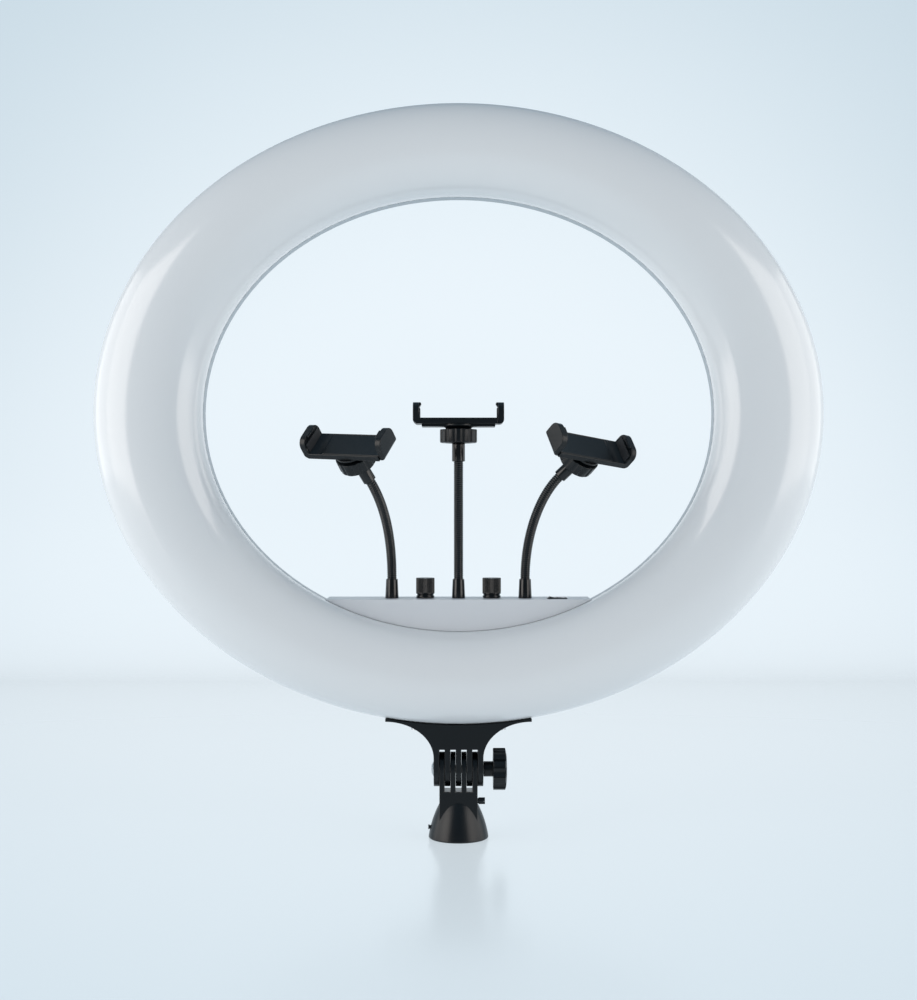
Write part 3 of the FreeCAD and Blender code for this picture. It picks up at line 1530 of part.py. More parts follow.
# Two arcs from one station to the next. Each meets its station's direction, and they meet
# each other smoothly, halfway between the corners where their end tangents cross.
def biarc(start, start_way, end, end_way):
    chord = end - start
    along = chord.dot(start_way + end_way)
    slack = 2 * (1 - start_way.dot(end_way))
    leg = (math.sqrt(along**2 + slack * chord.dot(chord)) - along) / slack
    first_corner = start + start_way * leg
    last_corner = end - end_way * leg
    joint = (first_corner + last_corner) * 0.5
    arcs = []
    for near, corner, far in ((start, first_corner, joint), (joint, last_corner, end)):
        cosine = (far - near).Length / 2 / leg
        middle = (near + corner * (2 * cosine) + far) * (1 / (2 + 2 * cosine))
        arcs.append(Part.Arc(near, middle, far).toShape())
    return arcs


# A helix along X in quarter turns, each a pair of arcs, as one unbroken wire of round section
def coil(radius, wire, turns, start, end):
    quarters = int(turns * 4)
    rise = (end - start - 2 * wire) / quarters

    def station(step):
        angle = math.pi / 2 * step
        point = Vector(start + wire + rise * step, radius * math.cos(angle), radius * math.sin(angle))
        way = Vector(rise * 2 / math.pi, -radius * math.sin(angle), radius * math.cos(angle))
        return point, way.normalize()

    arcs = []
    for quarter in range(quarters):
        arcs.extend(biarc(*station(quarter), *station(quarter + 1)))
    section = Part.Wire(Part.makeCircle(wire, *station(0)))
    return Part.Wire(arcs).makePipeShell([section], True, False)


def make_clamp_springs(side, frame):
    start = place.jaw_face - size.tongue_length + size.crossbar_length + size.screw_play
    end = place.chamber_length / 2 - size.screw_play
    one = coil(place.spring_radius, size.spring_wire, size.spring_turns, start, end)
    level = size.plate_rise + place.chamber_depth / 2
    pair = []
    for across in (-size.spring_place, size.spring_place):
        spring = one.copy()
        spring.translate(Vector(0, across, level))
        pair.append(spring)
    if side == "left":
        pitch = (end - start - 2 * size.spring_wire) / size.spring_turns
        print(f"clamp spring: pitch {pitch:.2f}, least gap between turns {pitch - 2 * size.spring_wire:.2f}")
    keep_shape(f"{side}_clamp_springs", Part.makeCompound(pair), frame.clamp)


# Rubber pads glued to the inner faces of the two jaws, below their lips
def make_pads(side, frame):
    for name, breadth, sign in (("fixed_pad", size.clamp_breadth, -1), ("jaw_pad", place.jaw_breadth, 1)):
        half = breadth / 2 - size.pad_margin
        face = sign * place.jaw_face
        inner = face - sign * size.pad_thickness
        low = place.plate_top + size.pad_lift
        high = size.plate_rise + size.jaw_height - size.jaw_lip_height - size.pad_headroom
        pad_block = slab(min(face, inner), max(face, inner), -half, half, low, high)
        keep_shape(f"{side}_{name}", pad_block, frame.clamp)


make_rear_housing()
make_front_diffuser()
make_led_board()
make_led_chips()
make_ring_screws()
make_control_box()
make_control_box_back()
make_circuit()
make_led_lead()
for knob_name, knob_side in (("brightness", -1), ("colour", 1)):
    make_potentiometer(knob_name, knob_side)
    make_knob(knob_name, knob_side)
make_switch()
make_inlet()
make_neck_nuts()
make_bracket()
make_stand_socket()
make_socket_screws()
make_hinge_bolt()
make_tilt_knob()
for holder in ("left", "centre", "right"):
    holder_place = holder_frame(holder)
    make_neck_ends(holder, holder_place)
    make_gooseneck(holder, holder_place)
    make_collar(holder, holder_place)
    make_clamp_cover(holder, holder_place)
    make_clamp_body(holder, holder_place)
    make_clamp_jaw(holder, holder_place)
    make_clamp_springs(holder, holder_place)
    make_pads(holder, holder_place)

doc.recompute()

broken = [thing.Name for thing in doc.Objects if {"Invalid", "Error"} & set(thing.State)]
for name, thing in sub_parts.items():
    thing.Label = name
    if thing.Shape.isNull() or not thing.Shape.isValid() or not thing.Shape.Solids:
        broken.append(name)
if broken:
    raise RuntimeError("failed to build: " + ", ".join(broken))

os.makedirs("parts", exist_ok=True)
for name, thing in sub_parts.items():
    thing.Shape.exportStep(f"parts/{name}.step")
print(f"wrote {len(sub_parts)} pieces")
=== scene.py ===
import json
import math

import bmesh
import bpy
import numpy as np
from mathutils import Matrix, Vector


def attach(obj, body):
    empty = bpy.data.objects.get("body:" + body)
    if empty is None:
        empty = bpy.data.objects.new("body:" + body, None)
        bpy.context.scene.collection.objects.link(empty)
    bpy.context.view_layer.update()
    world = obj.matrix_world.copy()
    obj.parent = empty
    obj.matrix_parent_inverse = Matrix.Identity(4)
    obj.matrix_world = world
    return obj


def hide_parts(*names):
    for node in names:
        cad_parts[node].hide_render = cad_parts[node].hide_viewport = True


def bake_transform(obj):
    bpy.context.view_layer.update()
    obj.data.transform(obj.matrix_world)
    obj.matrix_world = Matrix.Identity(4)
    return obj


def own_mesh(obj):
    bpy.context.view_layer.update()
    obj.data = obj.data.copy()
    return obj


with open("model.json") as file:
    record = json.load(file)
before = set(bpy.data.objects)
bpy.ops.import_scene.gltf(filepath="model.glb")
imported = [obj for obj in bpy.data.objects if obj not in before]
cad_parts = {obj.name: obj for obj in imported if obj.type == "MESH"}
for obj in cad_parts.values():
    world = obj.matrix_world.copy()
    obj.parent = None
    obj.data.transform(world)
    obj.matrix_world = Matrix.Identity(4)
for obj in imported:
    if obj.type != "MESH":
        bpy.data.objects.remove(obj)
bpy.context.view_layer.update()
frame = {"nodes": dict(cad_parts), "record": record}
nodes = frame["nodes"]
mm = 0.001
sides = ("left", "centre", "right")
print("frame loaded:", len(nodes), "CAD nodes")


# small helpers for meshes

def newPiece(name, verts, faces):
    mesh = bpy.data.meshes.new(name)
    mesh.from_pydata(np.asarray(verts).reshape(-1, 3).tolist(), [], [list(face) for face in faces])
    mesh.update()
    piece = bpy.data.objects.new(name, mesh)
    bpy.context.scene.collection.objects.link(piece)
    return piece


# quads over a grid of points (rows, columns, 3); wrapped directions join their ends
def gridFaces(rows, columns, wrapRows, wrapColumns):
    rowStarts = np.arange(rows if wrapRows else rows - 1)
    columnStarts = np.arange(columns if wrapColumns else columns - 1)
    row, column = np.meshgrid(rowStarts, columnStarts, indexing="ij")
    rowAfter = (row + 1) % rows
    columnAfter = (column + 1) % columns
    corners = [row * columns + column, row * columns + columnAfter,
               rowAfter * columns + columnAfter, rowAfter * columns + column]
    return np.stack(corners, -1).reshape(-1, 4).tolist()


# quads round a tube, closed by a fan at each end; the centres of the two fans come after the grid's points
def closedTubeFaces(rows, columns):
    faces = gridFaces(rows, columns, False, True)
    here = np.arange(columns)
    beside = (here + 1) % columns
    centre = rows * columns
    last = centre - columns
    faces += np.stack([np.full(columns, centre), beside, here], -1).tolist()
    faces += np.stack([np.full(columns, centre + 1), last + here, last + beside], -1).tolist()
    return faces


def shadeSmooth(piece, sharpAbove=None):
    mesh = piece.data
    mesh.polygons.foreach_set("use_smooth", np.ones(len(mesh.polygons), bool))
    if sharpAbove:
        mesh.set_sharp_from_angle(angle=math.radians(sharpAbove))
    mesh.update()


# a turned form: profile points (radius, height) go to (radius * cos angle, radius * sin angle, height). A
# profile that starts off the axis closes on itself, one that starts on the axis has a pole at each end.
# ripple(angle, height, radius) is how far flutes, scallops and lobes cut in
def turnedPiece(name, profile, columns, ripple=None):
    profile = np.asarray(profile, float)
    angles = np.linspace(0, 2 * np.pi, columns, endpoint=False)
    radius = profile[:, 0][:, None] * np.ones(columns)
    height = profile[:, 1][:, None] * np.ones(columns)
    if ripple is not None:
        radius = radius - ripple(angles[None, :], profile[:, 1][:, None], radius)
    grid = np.stack([radius * np.cos(angles), radius * np.sin(angles), height], -1)
    rows = len(profile)
    if profile[0, 0] > 0:
        return newPiece(name, grid, gridFaces(rows, columns, True, True))
    poles = [[0, 0, profile[0, 1]], [0, 0, profile[-1, 1]]]
    return newPiece(name, np.vstack([grid[1:-1].reshape(-1, 3), poles]), closedTubeFaces(rows - 2, columns))


# rounds the corners of a profile: each gives way to (1 - share)^2 * start + 2 * share * (1 - share) * corner
# + share^2 * end. Start and end are on its two sides, as far off as the radius says and at most at a set
# share of the side
cornerShare = 0.45


def roundProfile(points, radii, steps=4):
    points = np.asarray(points, float)
    result = []
    for index, point in enumerate(points):
        radius = radii[index]
        if radius <= 0:
            result.append(point)
            continue
        before = points[index - 1] - point
        after = points[(index + 1) % len(points)] - point
        cut = min(radius, np.linalg.norm(before) * cornerShare, np.linalg.norm(after) * cornerShare)
        start = point + before / np.linalg.norm(before) * cut
        end = point + after / np.linalg.norm(after) * cut
        for share in np.linspace(0, 1, steps + 1):
            result.append((1 - share) ** 2 * start + 2 * share * (1 - share) * point + share**2 * end)
    return np.array(result)


def placeMesh(piece, matrix):
    piece.data.transform(matrix)
    piece.data.update()


def finishPiece(piece, body, material, slot, *replaced):
    piece.data.materials.clear()
    piece.data.materials.append(material)
    if body:
        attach(piece, body)
    if replaced:
        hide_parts(*replaced)


# materials

def linear(hexColour):
    values = [int(hexColour[i:i + 2], 16) / 255 for i in (1, 3, 5)]
    return [v / 12.92 if v <= 0.04045 else ((v + 0.055) / 1.055) ** 2.4 for v in values] + [1.0]


def newMaterial(name):
    material = bpy.data.materials.new(name)
    material.use_nodes = True
    material.node_tree.nodes.clear()
    return material, material.node_tree


# a node with its settings, input values and links; sockets 6 and 7 of a colour Mix are its two colours
def addNode(tree, kind, settings=None, inputs=None, links=None):
    node = tree.nodes.new(kind)
    for key, value in (settings or {}).items():
        setattr(node, key, value)
    for key, value in (inputs or {}).items():
        node.inputs[key].default_value = value
    for key, source in (links or {}).items():
        tree.links.new(source, node.inputs[key])
    return node


# moulded or coated skin: base colour with a slow drift, grain as bump, roughness that varies
def mouldedSkin(name, light, dark, roughness, grainMm, grainDepth, driftMm,
                spread=0.06, ior=1.5, metallic=0.0):
    material, tree = newMaterial(name)
    where = addNode(tree, "ShaderNodeTexCoord")
    drift = addNode(tree, "ShaderNodeTexNoise", inputs={"Scale": 1 / (driftMm * mm), "Detail": 3.0},
                    links={"Vector": where.outputs["Object"]})
    colour = addNode(tree, "ShaderNodeMix", {"data_type": "RGBA"}, {6: linear(dark), 7: linear(light)},
                     {0: drift.outputs["Fac"]})
    grain = addNode(tree, "ShaderNodeTexNoise", inputs={"Scale": 1 / (grainMm * mm), "Detail": 2.0},
                    links={"Vector": where.outputs["Object"]})
    rough = addNode(tree, "ShaderNodeMapRange",
                    inputs={"To Min": roughness - spread, "To Max": roughness + spread},
                    links={"Value": drift.outputs["Fac"]})
    bump = addNode(tree, "ShaderNodeBump", inputs={"Strength": 1.0, "Distance": grainDepth * mm},
                   links={"Height": grain.outputs["Fac"]})
    shader = addNode(tree, "ShaderNodeBsdfPrincipled",
                     inputs={"Metallic": metallic, "IOR": ior},
                     links={"Base Color": colour.outputs[2], "Roughness": rough.outputs["Result"],
                            "Normal": bump.outputs["Normal"]})
    out = addNode(tree, "ShaderNodeOutputMaterial")
    tree.links.new(shader.outputs["BSDF"], out.inputs["Surface"])
    return material


# each skin below: two colours, roughness, then grain size, grain depth and drift size in mm

# milk-white acrylic: a clear gloss over a soft white body, with the faint waviness of a moulded dome
domeAcrylic = mouldedSkin("domeAcrylic", "#dadddf", "#d6d9dc", 0.15, 26, 0.05, driftMm=160, spread=0.02,
                          ior=1.56)
# injection-moulded white ABS: fine spark-eroded grain that softens the gloss
shellAbs = mouldedSkin("shellAbs", "#e2e4e6", "#dcdfe1", 0.32, 0.6, 0.02, driftMm=90)
# pale grey ABS panel: satin, so it shows broad soft reflections only
panelAbs = mouldedSkin("panelAbs", "#cdd0d4", "#c7cbd0", 0.38, 0.5, 0.02, driftMm=70)
# glass-filled black nylon: satin with a fine grain
clampNylon = mouldedSkin("clampNylon", "#0a1014", "#070b0e", 0.32, 0.45, 0.03, driftMm=25, ior=1.38)
# glossy black ABS of the two controls, the rocker and the inlet
controlAbs = mouldedSkin("controlAbs", "#0a0d10", "#07090b", 0.2, 0.4, 0.01, driftMm=20, ior=1.4)
# black enamel on turned steel: smooth and glossy, with one clear highlight along it
ferruleEnamel = mouldedSkin("ferruleEnamel", "#0a0d10", "#07090b", 0.17, 3, 0.004, driftMm=15, spread=0.03,
                            ior=1.45)
# black-coated wire coil of the goosenecks: duller than the ferrules
neckCoating = mouldedSkin("neckCoating", "#0a0d10", "#07090b", 0.24, 0.6, 0.01, driftMm=12, ior=1.5)
# zinc-plated steel: silvery, slightly clouded
zincSteel = mouldedSkin("zincSteel", "#c9cbcd", "#aeb1b4", 0.28, 0.3, 0.01, driftMm=6, metallic=1.0)
# black oxide on the small slotted screws: dark with a soft metal sheen
oxideSteel = mouldedSkin("oxideSteel", "#3a3d40", "#2b2e30", 0.35, 0.3, 0.01, driftMm=4, metallic=0.8)
# drawn spring wire: darker and smoother steel
springWire = mouldedSkin("springWire", "#a9acb0", "#8c9094", 0.24, 0.3, 0.005, driftMm=3, metallic=1.0)
# turned brass: warm metal
turnedBrass = mouldedSkin("turnedBrass", "#d8b163", "#c39a4f", 0.25, 0.4, 0.01, driftMm=5, metallic=1.0)
# soft black rubber: no gloss, slightly dusty
padRubber = mouldedSkin("padRubber", "#25282b", "#1a1c1f", 0.7, 0.5, 0.05, driftMm=8)
# white solder mask on an aluminium board
maskWhite = mouldedSkin("maskWhite", "#dcdedd", "#cfd2d1", 0.4, 2, 0.01, driftMm=30)
# green solder mask
maskGreen = mouldedSkin("maskGreen", "#1f6b3c", "#175530", 0.35, 2, 0.01, driftMm=10)
# phosphor-filled silicone of the light sources
phosphor = mouldedSkin("phosphor", "#ecd26a", "#dfc153", 0.45, 0.5, 0.01, driftMm=2)
# moulded black epoxy of the driver parts
epoxyBlack = mouldedSkin("epoxyBlack", "#202224", "#191b1d", 0.5, 0.3, 0.02, driftMm=5)

nodeMaterials = {
    "rear_housing": shellAbs,
    "control_box_shell": panelAbs,
    "control_box_back": panelAbs,
    "dc_socket": controlAbs,
    "switch_body": controlAbs,
    "power_rocker": controlAbs,
    "led_board": maskWhite,
    "led_chips": phosphor,
    "control_board": maskGreen,
    "driver_parts": epoxyBlack,
    "led_lead": padRubber,
    "knob_insert": turnedBrass,
    "ring_bracket": clampNylon,
    "stand_socket": clampNylon,
    "stand_lock_screw": oxideSteel,
    "socket_side_screw": oxideSteel,
}
slotMaterials = {
    "screw_steel": zincSteel,
    "spring_steel": springWire,
    "pad_rubber": padRubber,
    "black_plastic": clampNylon,
    "black_metal": ferruleEnamel,
}
slotNames = {part["node"]: part["material_slot"] for part in frame["record"]["subparts"]}
for name, node in nodes.items():
    chosen = nodeMaterials.get(name) or slotMaterials.get(slotNames[name], shellAbs)
    node.data.materials.clear()
    node.data.materials.append(chosen)
print("materials on the CAD nodes")

# ring dome: straight skirts and half an ellipse, all carried round and squeezed in height
dome = {"width": 560, "height": 476, "tube": 83, "skirt": 6, "rise": 27, "wall": 2, "seam": 0.3,
        "centreZ": 326.5, "around": 360, "across": 56, "sharpAbove": 50}


# profile of the shell, outside then inside: half an ellipse between two skirts, with both seams chamfered;
# radius = middle + half * cos sweep, depth = -skirt - rise * sin sweep
def domeProfile():
    rim = dome["width"] / 2
    inner = rim - dome["tube"]
    half = dome["tube"] / 2
    middle = rim - half
    sweep = np.linspace(0, np.pi, dome["across"])

    def arch(inset, seam):
        radius = middle + (half - inset) * np.cos(sweep)
        depth = -dome["skirt"] - (dome["rise"] - inset) * np.sin(sweep)
        midSkirt = (seam - dome["skirt"]) / 2
        skirtOut = [[rim - inset, seam], [rim - inset, midSkirt]]
        skirtIn = [[inner + inset, midSkirt], [inner + inset, seam]]
        return np.vstack([skirtOut, np.stack([radius, depth], -1), skirtIn])

    outside = arch(0, -dome["seam"])
    inside = arch(dome["wall"], 0)[::-1]
    return np.vstack([[[rim - dome["seam"], 0]], outside, [[inner + dome["seam"], 0]], inside])


profile = domeProfile()
angles = np.linspace(0, 2 * np.pi, dome["around"], endpoint=False)
squeeze = dome["height"] / dome["width"]
grid = np.stack([
    profile[:, 0][:, None] * np.cos(angles),
    profile[:, 1][:, None] * np.ones(len(angles)),
    dome["centreZ"] + squeeze * profile[:, 0][:, None] * np.sin(angles),
], -1) * mm
domePiece = newPiece("ringDome", grid, gridFaces(len(profile), len(angles), True, True))
shadeSmooth(domePiece, dome["sharpAbove"])
finishPiece(domePiece, "ring_head", domeAcrylic, "diffuser_white", "front_diffuser")

# painted shade: the housing's wall round the hole is painted a darker grey for the shade in it, which shows
# as a thin line from the front; the radius is half a millimetre more than the wall's own
holeWallShade = {"tint": "#929ea6", "radius": 197.5}


# painted shade: grey where length(x, (z - centre) / squeeze) is below the radius, the skin's own colour
# beyond it
def paintHoleWallShade(material):
    tree = material.node_tree
    shader = next(node for node in tree.nodes if node.type == "BSDF_PRINCIPLED")
    skin = shader.inputs["Base Color"].links[0].from_socket
    where = addNode(tree, "ShaderNodeTexCoord")
    centre = (0, 0, -dome["centreZ"] * mm / squeeze)
    flat = addNode(tree, "ShaderNodeMapping", inputs={"Location": centre, "Scale": (1, 0, 1 / squeeze)},
                   links={"Vector": where.outputs["Object"]})
    away = addNode(tree, "ShaderNodeVectorMath", {"operation": "LENGTH"},
                   links={0: flat.outputs["Vector"]})
    beyond = addNode(tree, "ShaderNodeMath", {"operation": "GREATER_THAN"}, {1: holeWallShade["radius"] * mm},
                     {0: away.outputs["Value"]})
    # the grey of the painted shade, inside the radius
    colour = addNode(tree, "ShaderNodeMix", {"data_type": "RGBA"}, {6: linear(holeWallShade["tint"])},
                     {0: beyond.outputs["Value"], 7: skin})
    tree.links.new(colour.outputs[2], shader.inputs["Base Color"])


paintHoleWallShade(shellAbs)
print("ring dome")

# what stands on the control panel: one row at this depth, on this level
controlRow = {"y": 14.25, "panelTop": 183.7}

# goosenecks: a wound tube on a cubic bend, straight where the ferrules hold it
necks = {
    "crest": 3.75, "groove": 3.12, "crestShape": 0.6, "pitch": 1.65, "hidden": 9.8, "endGap": 0.1,
    "columns": 40, "rowsPerTurn": 8, "bendSteps": 1200, "endSteps": 20, "sharpAbove": 70,
    "left": {"foot": (-52, 14.25, 198.6), "ball": (-77.5, -35, 293.1), "lean": 33.4, "azimuth": 25.9,
             "lift": 39.3, "reach": 17.5},
    "centre": {"foot": (0, 14.25, 198.6), "ball": (0, 14.25, 312.4), "lean": 0, "azimuth": 0,
               "lift": 30, "reach": 30},
    "right": {"foot": (52, 14.25, 198.6), "ball": (92.8, -16.4, 293.2), "lean": 47, "azimuth": 166,
              "lift": 36.1, "reach": 19.7},
    "ferruleDrop": 22,
}


# way from the ball down the stud: it leans from straight down by one angle, towards an azimuth
def studDown(side):
    lean = math.radians(necks[side]["lean"])
    azimuth = math.radians(necks[side]["azimuth"])
    flat = math.sin(lean)
    return np.array([flat * math.cos(azimuth), flat * math.sin(azimuth), -math.cos(lean)])


# centre line: (1 - t)^3 * foot + 3 * (1 - t)^2 * t * first pole + 3 * (1 - t) * t^2 * second pole
# + t^3 * mouth, between the ferrules' mouths, and run on straight into both
def neckLine(side):
    foot = np.array(necks[side]["foot"], float)
    down = studDown(side)
    mouth = np.array(necks[side]["ball"], float) + down * necks["ferruleDrop"]
    t = np.linspace(0, 1, necks["bendSteps"])[:, None]
    poles = [foot, foot + [0, 0, necks[side]["lift"]], mouth + down * necks[side]["reach"], mouth]
    bend = ((1 - t) ** 3 * poles[0] + 3 * (1 - t) ** 2 * t * poles[1]
            + 3 * (1 - t) * t**2 * poles[2] + t**3 * poles[3])
    hidden = np.linspace(necks["endGap"], necks["hidden"], necks["endSteps"])[:, None]
    below = foot - np.array([0, 0, 1]) * hidden[::-1]
    above = mouth - down * hidden
    line = np.vstack([below, bend, above])
    steps = np.concatenate([[0], np.cumsum(np.linalg.norm(np.diff(line, axis=0), axis=1))])
    return line, steps, foot, mouth


# sleeve: the radius is groove + (crest - groove) * |sin(pi * phase)|^shape, and the phase grows by one with
# each pitch along the line and falls by one in a turn round it
def neckSleeve(side):
    line, steps, foot, mouth = neckLine(side)
    rows = int(steps[-1] / necks["pitch"] * necks["rowsPerTurn"])
    s = np.linspace(0, steps[-1], rows)
    centre = np.stack([np.interp(s, steps, line[:, k]) for k in range(3)], -1)
    way = np.gradient(centre, axis=0)
    way /= np.linalg.norm(way, axis=1)[:, None]
    across = np.cross([0, 1, 0], way)
    across /= np.linalg.norm(across, axis=1)[:, None]
    up = np.cross(way, across)
    turn = np.linspace(0, 2 * np.pi, necks["columns"], endpoint=False)
    phase = s[:, None] / necks["pitch"] - turn[None, :] / (2 * np.pi)
    rise = np.abs(np.sin(np.pi * phase))
    radius = necks["groove"] + (necks["crest"] - necks["groove"]) * rise ** necks["crestShape"]
    out = (np.cos(turn)[None, :, None] * across[:, None, :]
           + np.sin(turn)[None, :, None] * up[:, None, :])
    grid = centre[:, None, :] + radius[:, :, None] * out
    verts = np.vstack([grid.reshape(-1, 3), centre[0], centre[-1]]) * mm
    piece = newPiece(f"{side}NeckSleeve", verts, closedTubeFaces(rows, necks["columns"]))
    shadeSmooth(piece, necks["sharpAbove"])
    finishPiece(piece, None, neckCoating, "black_metal", f"{side}_gooseneck")
    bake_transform(piece)


for side in sides:
    neckSleeve(side)
print("goosenecks")

# how each clamp is turned about its ball: yaw, pitch and roll, then a half turn of the right one
clampTurns = {"left": (-29.5, 2.6, 45, 0), "centre": (0, 0, 0, 0), "right": (33.5, 7.2, 51.8, 180)}


def clampMatrix(side):
    yaw, pitch, roll, half = (math.radians(v) for v in clampTurns[side])
    turn = Matrix.Rotation(yaw, 4, "Z") @ Matrix.Rotation(pitch, 4, "Y") @ Matrix.Rotation(roll, 4, "X")
    return Matrix.Translation(Vector(necks[side]["ball"]) * mm) @ turn @ Matrix.Rotation(half, 4, "Z")


# the upper ferrule's place: its own height runs up the stud, and its origin is the ball's centre
def studMatrix(side):
    up = Vector(-studDown(side))
    turn = up.to_track_quat("Z", "Y").to_matrix().to_4x4()
    return Matrix.Translation(Vector(necks[side]["ball"]) * mm) @ turn


# a turned form from a profile in mm and a rounding radius for each of its corners
def turnedInMm(name, profile, radii, columns, ripple=None, steps=4):
    return turnedPiece(name, roundProfile(profile, radii, steps) * mm, columns, ripple)


# lower and upper ferrules: turned steel with eased edges, hollow where the neck goes in
ferrule = {"bore": 3.8, "neckIn": 10, "lip": 0.1, "lipDepth": 0.3, "columns": 72, "sharpAbove": 40,
           "foot": {"radius": 5.2, "top": 4.55, "height": 14.9, "stud": 3.0, "studLength": 6.6},
           "head": {"radius": 5.05, "shoulder": 7.2, "length": 14.8, "ballNeck": 3.2, "ball": 6.0,
                    "ballRows": 24}}


def footFerrule(side):
    f, bore = ferrule["foot"], ferrule["bore"]
    seat = f["height"] - ferrule["neckIn"]
    profile = [(0, -f["studLength"]), (f["stud"], -f["studLength"]), (f["stud"], 0), (f["radius"], 0),
               (f["top"], f["height"]), (bore + ferrule["lip"], f["height"]),
               (bore, f["height"] - ferrule["lipDepth"]), (bore, seat), (0, seat)]
    radii = [0, 0.3, 0, 0.3, 0.45, 0.1, 0, 0, 0]
    piece = turnedInMm(f"{side}FootFerrule", profile, radii, ferrule["columns"])
    shadeSmooth(piece, ferrule["sharpAbove"])
    across = necks[side]["foot"][0]
    placeMesh(piece, Matrix.Translation(Vector((across, controlRow["y"], controlRow["panelTop"])) * mm))
    finishPiece(piece, "ring_head", ferruleEnamel, "black_metal", f"{side}_base_ferrule")


# the upper ferrule ends in a ball, so its profile runs up the cylinder, the slim neck and the sphere
def headFerrule(side):
    f, bore = ferrule["head"], ferrule["bore"]
    low = -f["shoulder"] - f["length"]
    reach = math.acos(f["ballNeck"] / f["ball"])
    latitudes = np.linspace(-reach, math.pi / 2, f["ballRows"])
    sphere = [(f["ball"] * math.cos(t), f["ball"] * math.sin(t)) for t in latitudes]
    sphere[-1] = (0, f["ball"])
    profile = [(0, low + ferrule["neckIn"]), (bore, low + ferrule["neckIn"]),
               (bore, low + ferrule["lipDepth"]), (bore + ferrule["lip"], low), (f["radius"], low),
               (f["radius"], -f["shoulder"]), (f["ballNeck"], -f["shoulder"])] + sphere
    radii = [0, 0, 0, 0.1, 0.45, 0.9, 0.3] + [0] * len(sphere)
    piece = turnedInMm(f"{side}HeadFerrule", profile, radii, ferrule["columns"])
    shadeSmooth(piece, ferrule["sharpAbove"])
    placeMesh(piece, studMatrix(side))
    finishPiece(piece, f"{side}_stud", ferruleEnamel, "black_metal", f"{side}_top_ferrule")


# lock collar: scallops cut by a ring of round cutters, softened where they meet the rim
collar = {"radius": 14.6, "above": 3.0, "below": 7.6, "mouth": 11, "thread": 9.65, "lead": 0.4, "ledge": 8.4,
          "ledgeDrop": 2.9, "scallops": 14, "cutter": 2.2, "depth": 0.9, "soft": 0.25, "rimBand": 2.2,
          "columns": 336, "sharpAbove": 45}


# cut = rim - (away * cos a - sqrt(cutter^2 - (away * sin a)^2)), with a counted from each cutter's middle;
# (cut + sqrt(cut^2 + soft^2)) / 2 - soft / 2 softens where it starts
def scallops(angle, height, radius):
    rim, cutter, soft = collar["radius"], collar["cutter"], collar["soft"]
    away = rim + cutter - collar["depth"]
    pitch = 2 * np.pi / collar["scallops"]
    a = (angle + pitch / 2) % pitch - pitch / 2
    span = away * np.sin(a)
    inside = np.maximum(cutter**2 - span**2, 0)
    edge = away * np.cos(a) - np.sqrt(inside)
    cut = np.where(inside > 0, rim * mm - edge * mm, 0)
    softened = (cut + np.sqrt(cut**2 + (soft * mm) ** 2)) / 2 - soft * mm / 2
    nearRim = radius > (rim - collar["rimBand"]) * mm
    return np.where(nearRim, np.maximum(radius - rim * mm + softened, 0), 0)


def lockCollar(side):
    c = collar
    profile = [(c["mouth"], -c["below"]), (c["radius"], -c["below"]), (c["radius"], c["above"]),
               (c["thread"] + c["lead"], c["above"]), (c["thread"], c["above"] - c["lead"]),
               (c["thread"], -c["ledgeDrop"]), (c["ledge"], -c["ledgeDrop"])]
    radii = [0.4, 1.6, 0.8, 0.1, 0.1, 0, 0.2]
    piece = turnedInMm(f"{side}LockCollar", profile, radii, c["columns"], scallops, 6)
    shadeSmooth(piece, c["sharpAbove"])
    placeMesh(piece, clampMatrix(side))
    finishPiece(piece, f"{side}_collar", clampNylon, "black_plastic", f"{side}_lock_collar")


for side in sides:
    footFerrule(side)
    headFerrule(side)
    lockCollar(side)
print("ferrules and lock collars")

# clamp springs: a round wire on a helix along the plate, two side by side; on the real clamp they shorten as
# the jaw opens, here they keep one length
clampSpring = {"start": -15.75, "end": 25.95, "level": 8.3, "apart": 5.2, "coil": 0.95, "wire": 0.22,
               "turns": 12, "stepsPerTurn": 24, "columns": 8, "travel": 28, "sharpAbove": 60}


# wire point at turn t: run along x, circle in y and z, plus the wire's own circle across the way it runs
def clampSprings(side):
    k = clampSpring
    rows = k["turns"] * k["stepsPerTurn"] + 1
    turn = np.linspace(0, 2 * np.pi * k["turns"], rows)
    run = np.linspace(k["start"] + k["wire"], k["end"] - k["wire"], rows)
    centre = np.stack([run, k["coil"] * np.cos(turn), k["coil"] * np.sin(turn)], -1)
    way = np.gradient(centre, axis=0)
    way /= np.linalg.norm(way, axis=1)[:, None]
    out = np.stack([np.zeros(rows), np.cos(turn), np.sin(turn)], -1)
    across = np.cross(way, out)
    around = np.linspace(0, 2 * np.pi, k["columns"], endpoint=False)
    grid = centre[:, None] + k["wire"] * (np.cos(around)[None, :, None] * out[:, None]
                                          + np.sin(around)[None, :, None] * across[:, None])
    one = np.vstack([grid.reshape(-1, 3), centre[0], centre[-1]])
    verts = np.vstack([one + [0, place, k["level"]] for place in (-k["apart"], k["apart"])]) * mm
    faces = closedTubeFaces(rows, k["columns"])
    faces += [[index + len(one) for index in face] for face in faces]
    piece = newPiece(f"{side}SpringPair", verts, faces)
    shadeSmooth(piece, k["sharpAbove"])
    turned = clampMatrix(side)
    placeMesh(piece, turned)
    finishPiece(piece, f"{side}_clamp", springWire, "spring_steel", f"{side}_clamp_springs")
    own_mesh(piece)


for side in sides:
    clampSprings(side)
print("clamp springs")

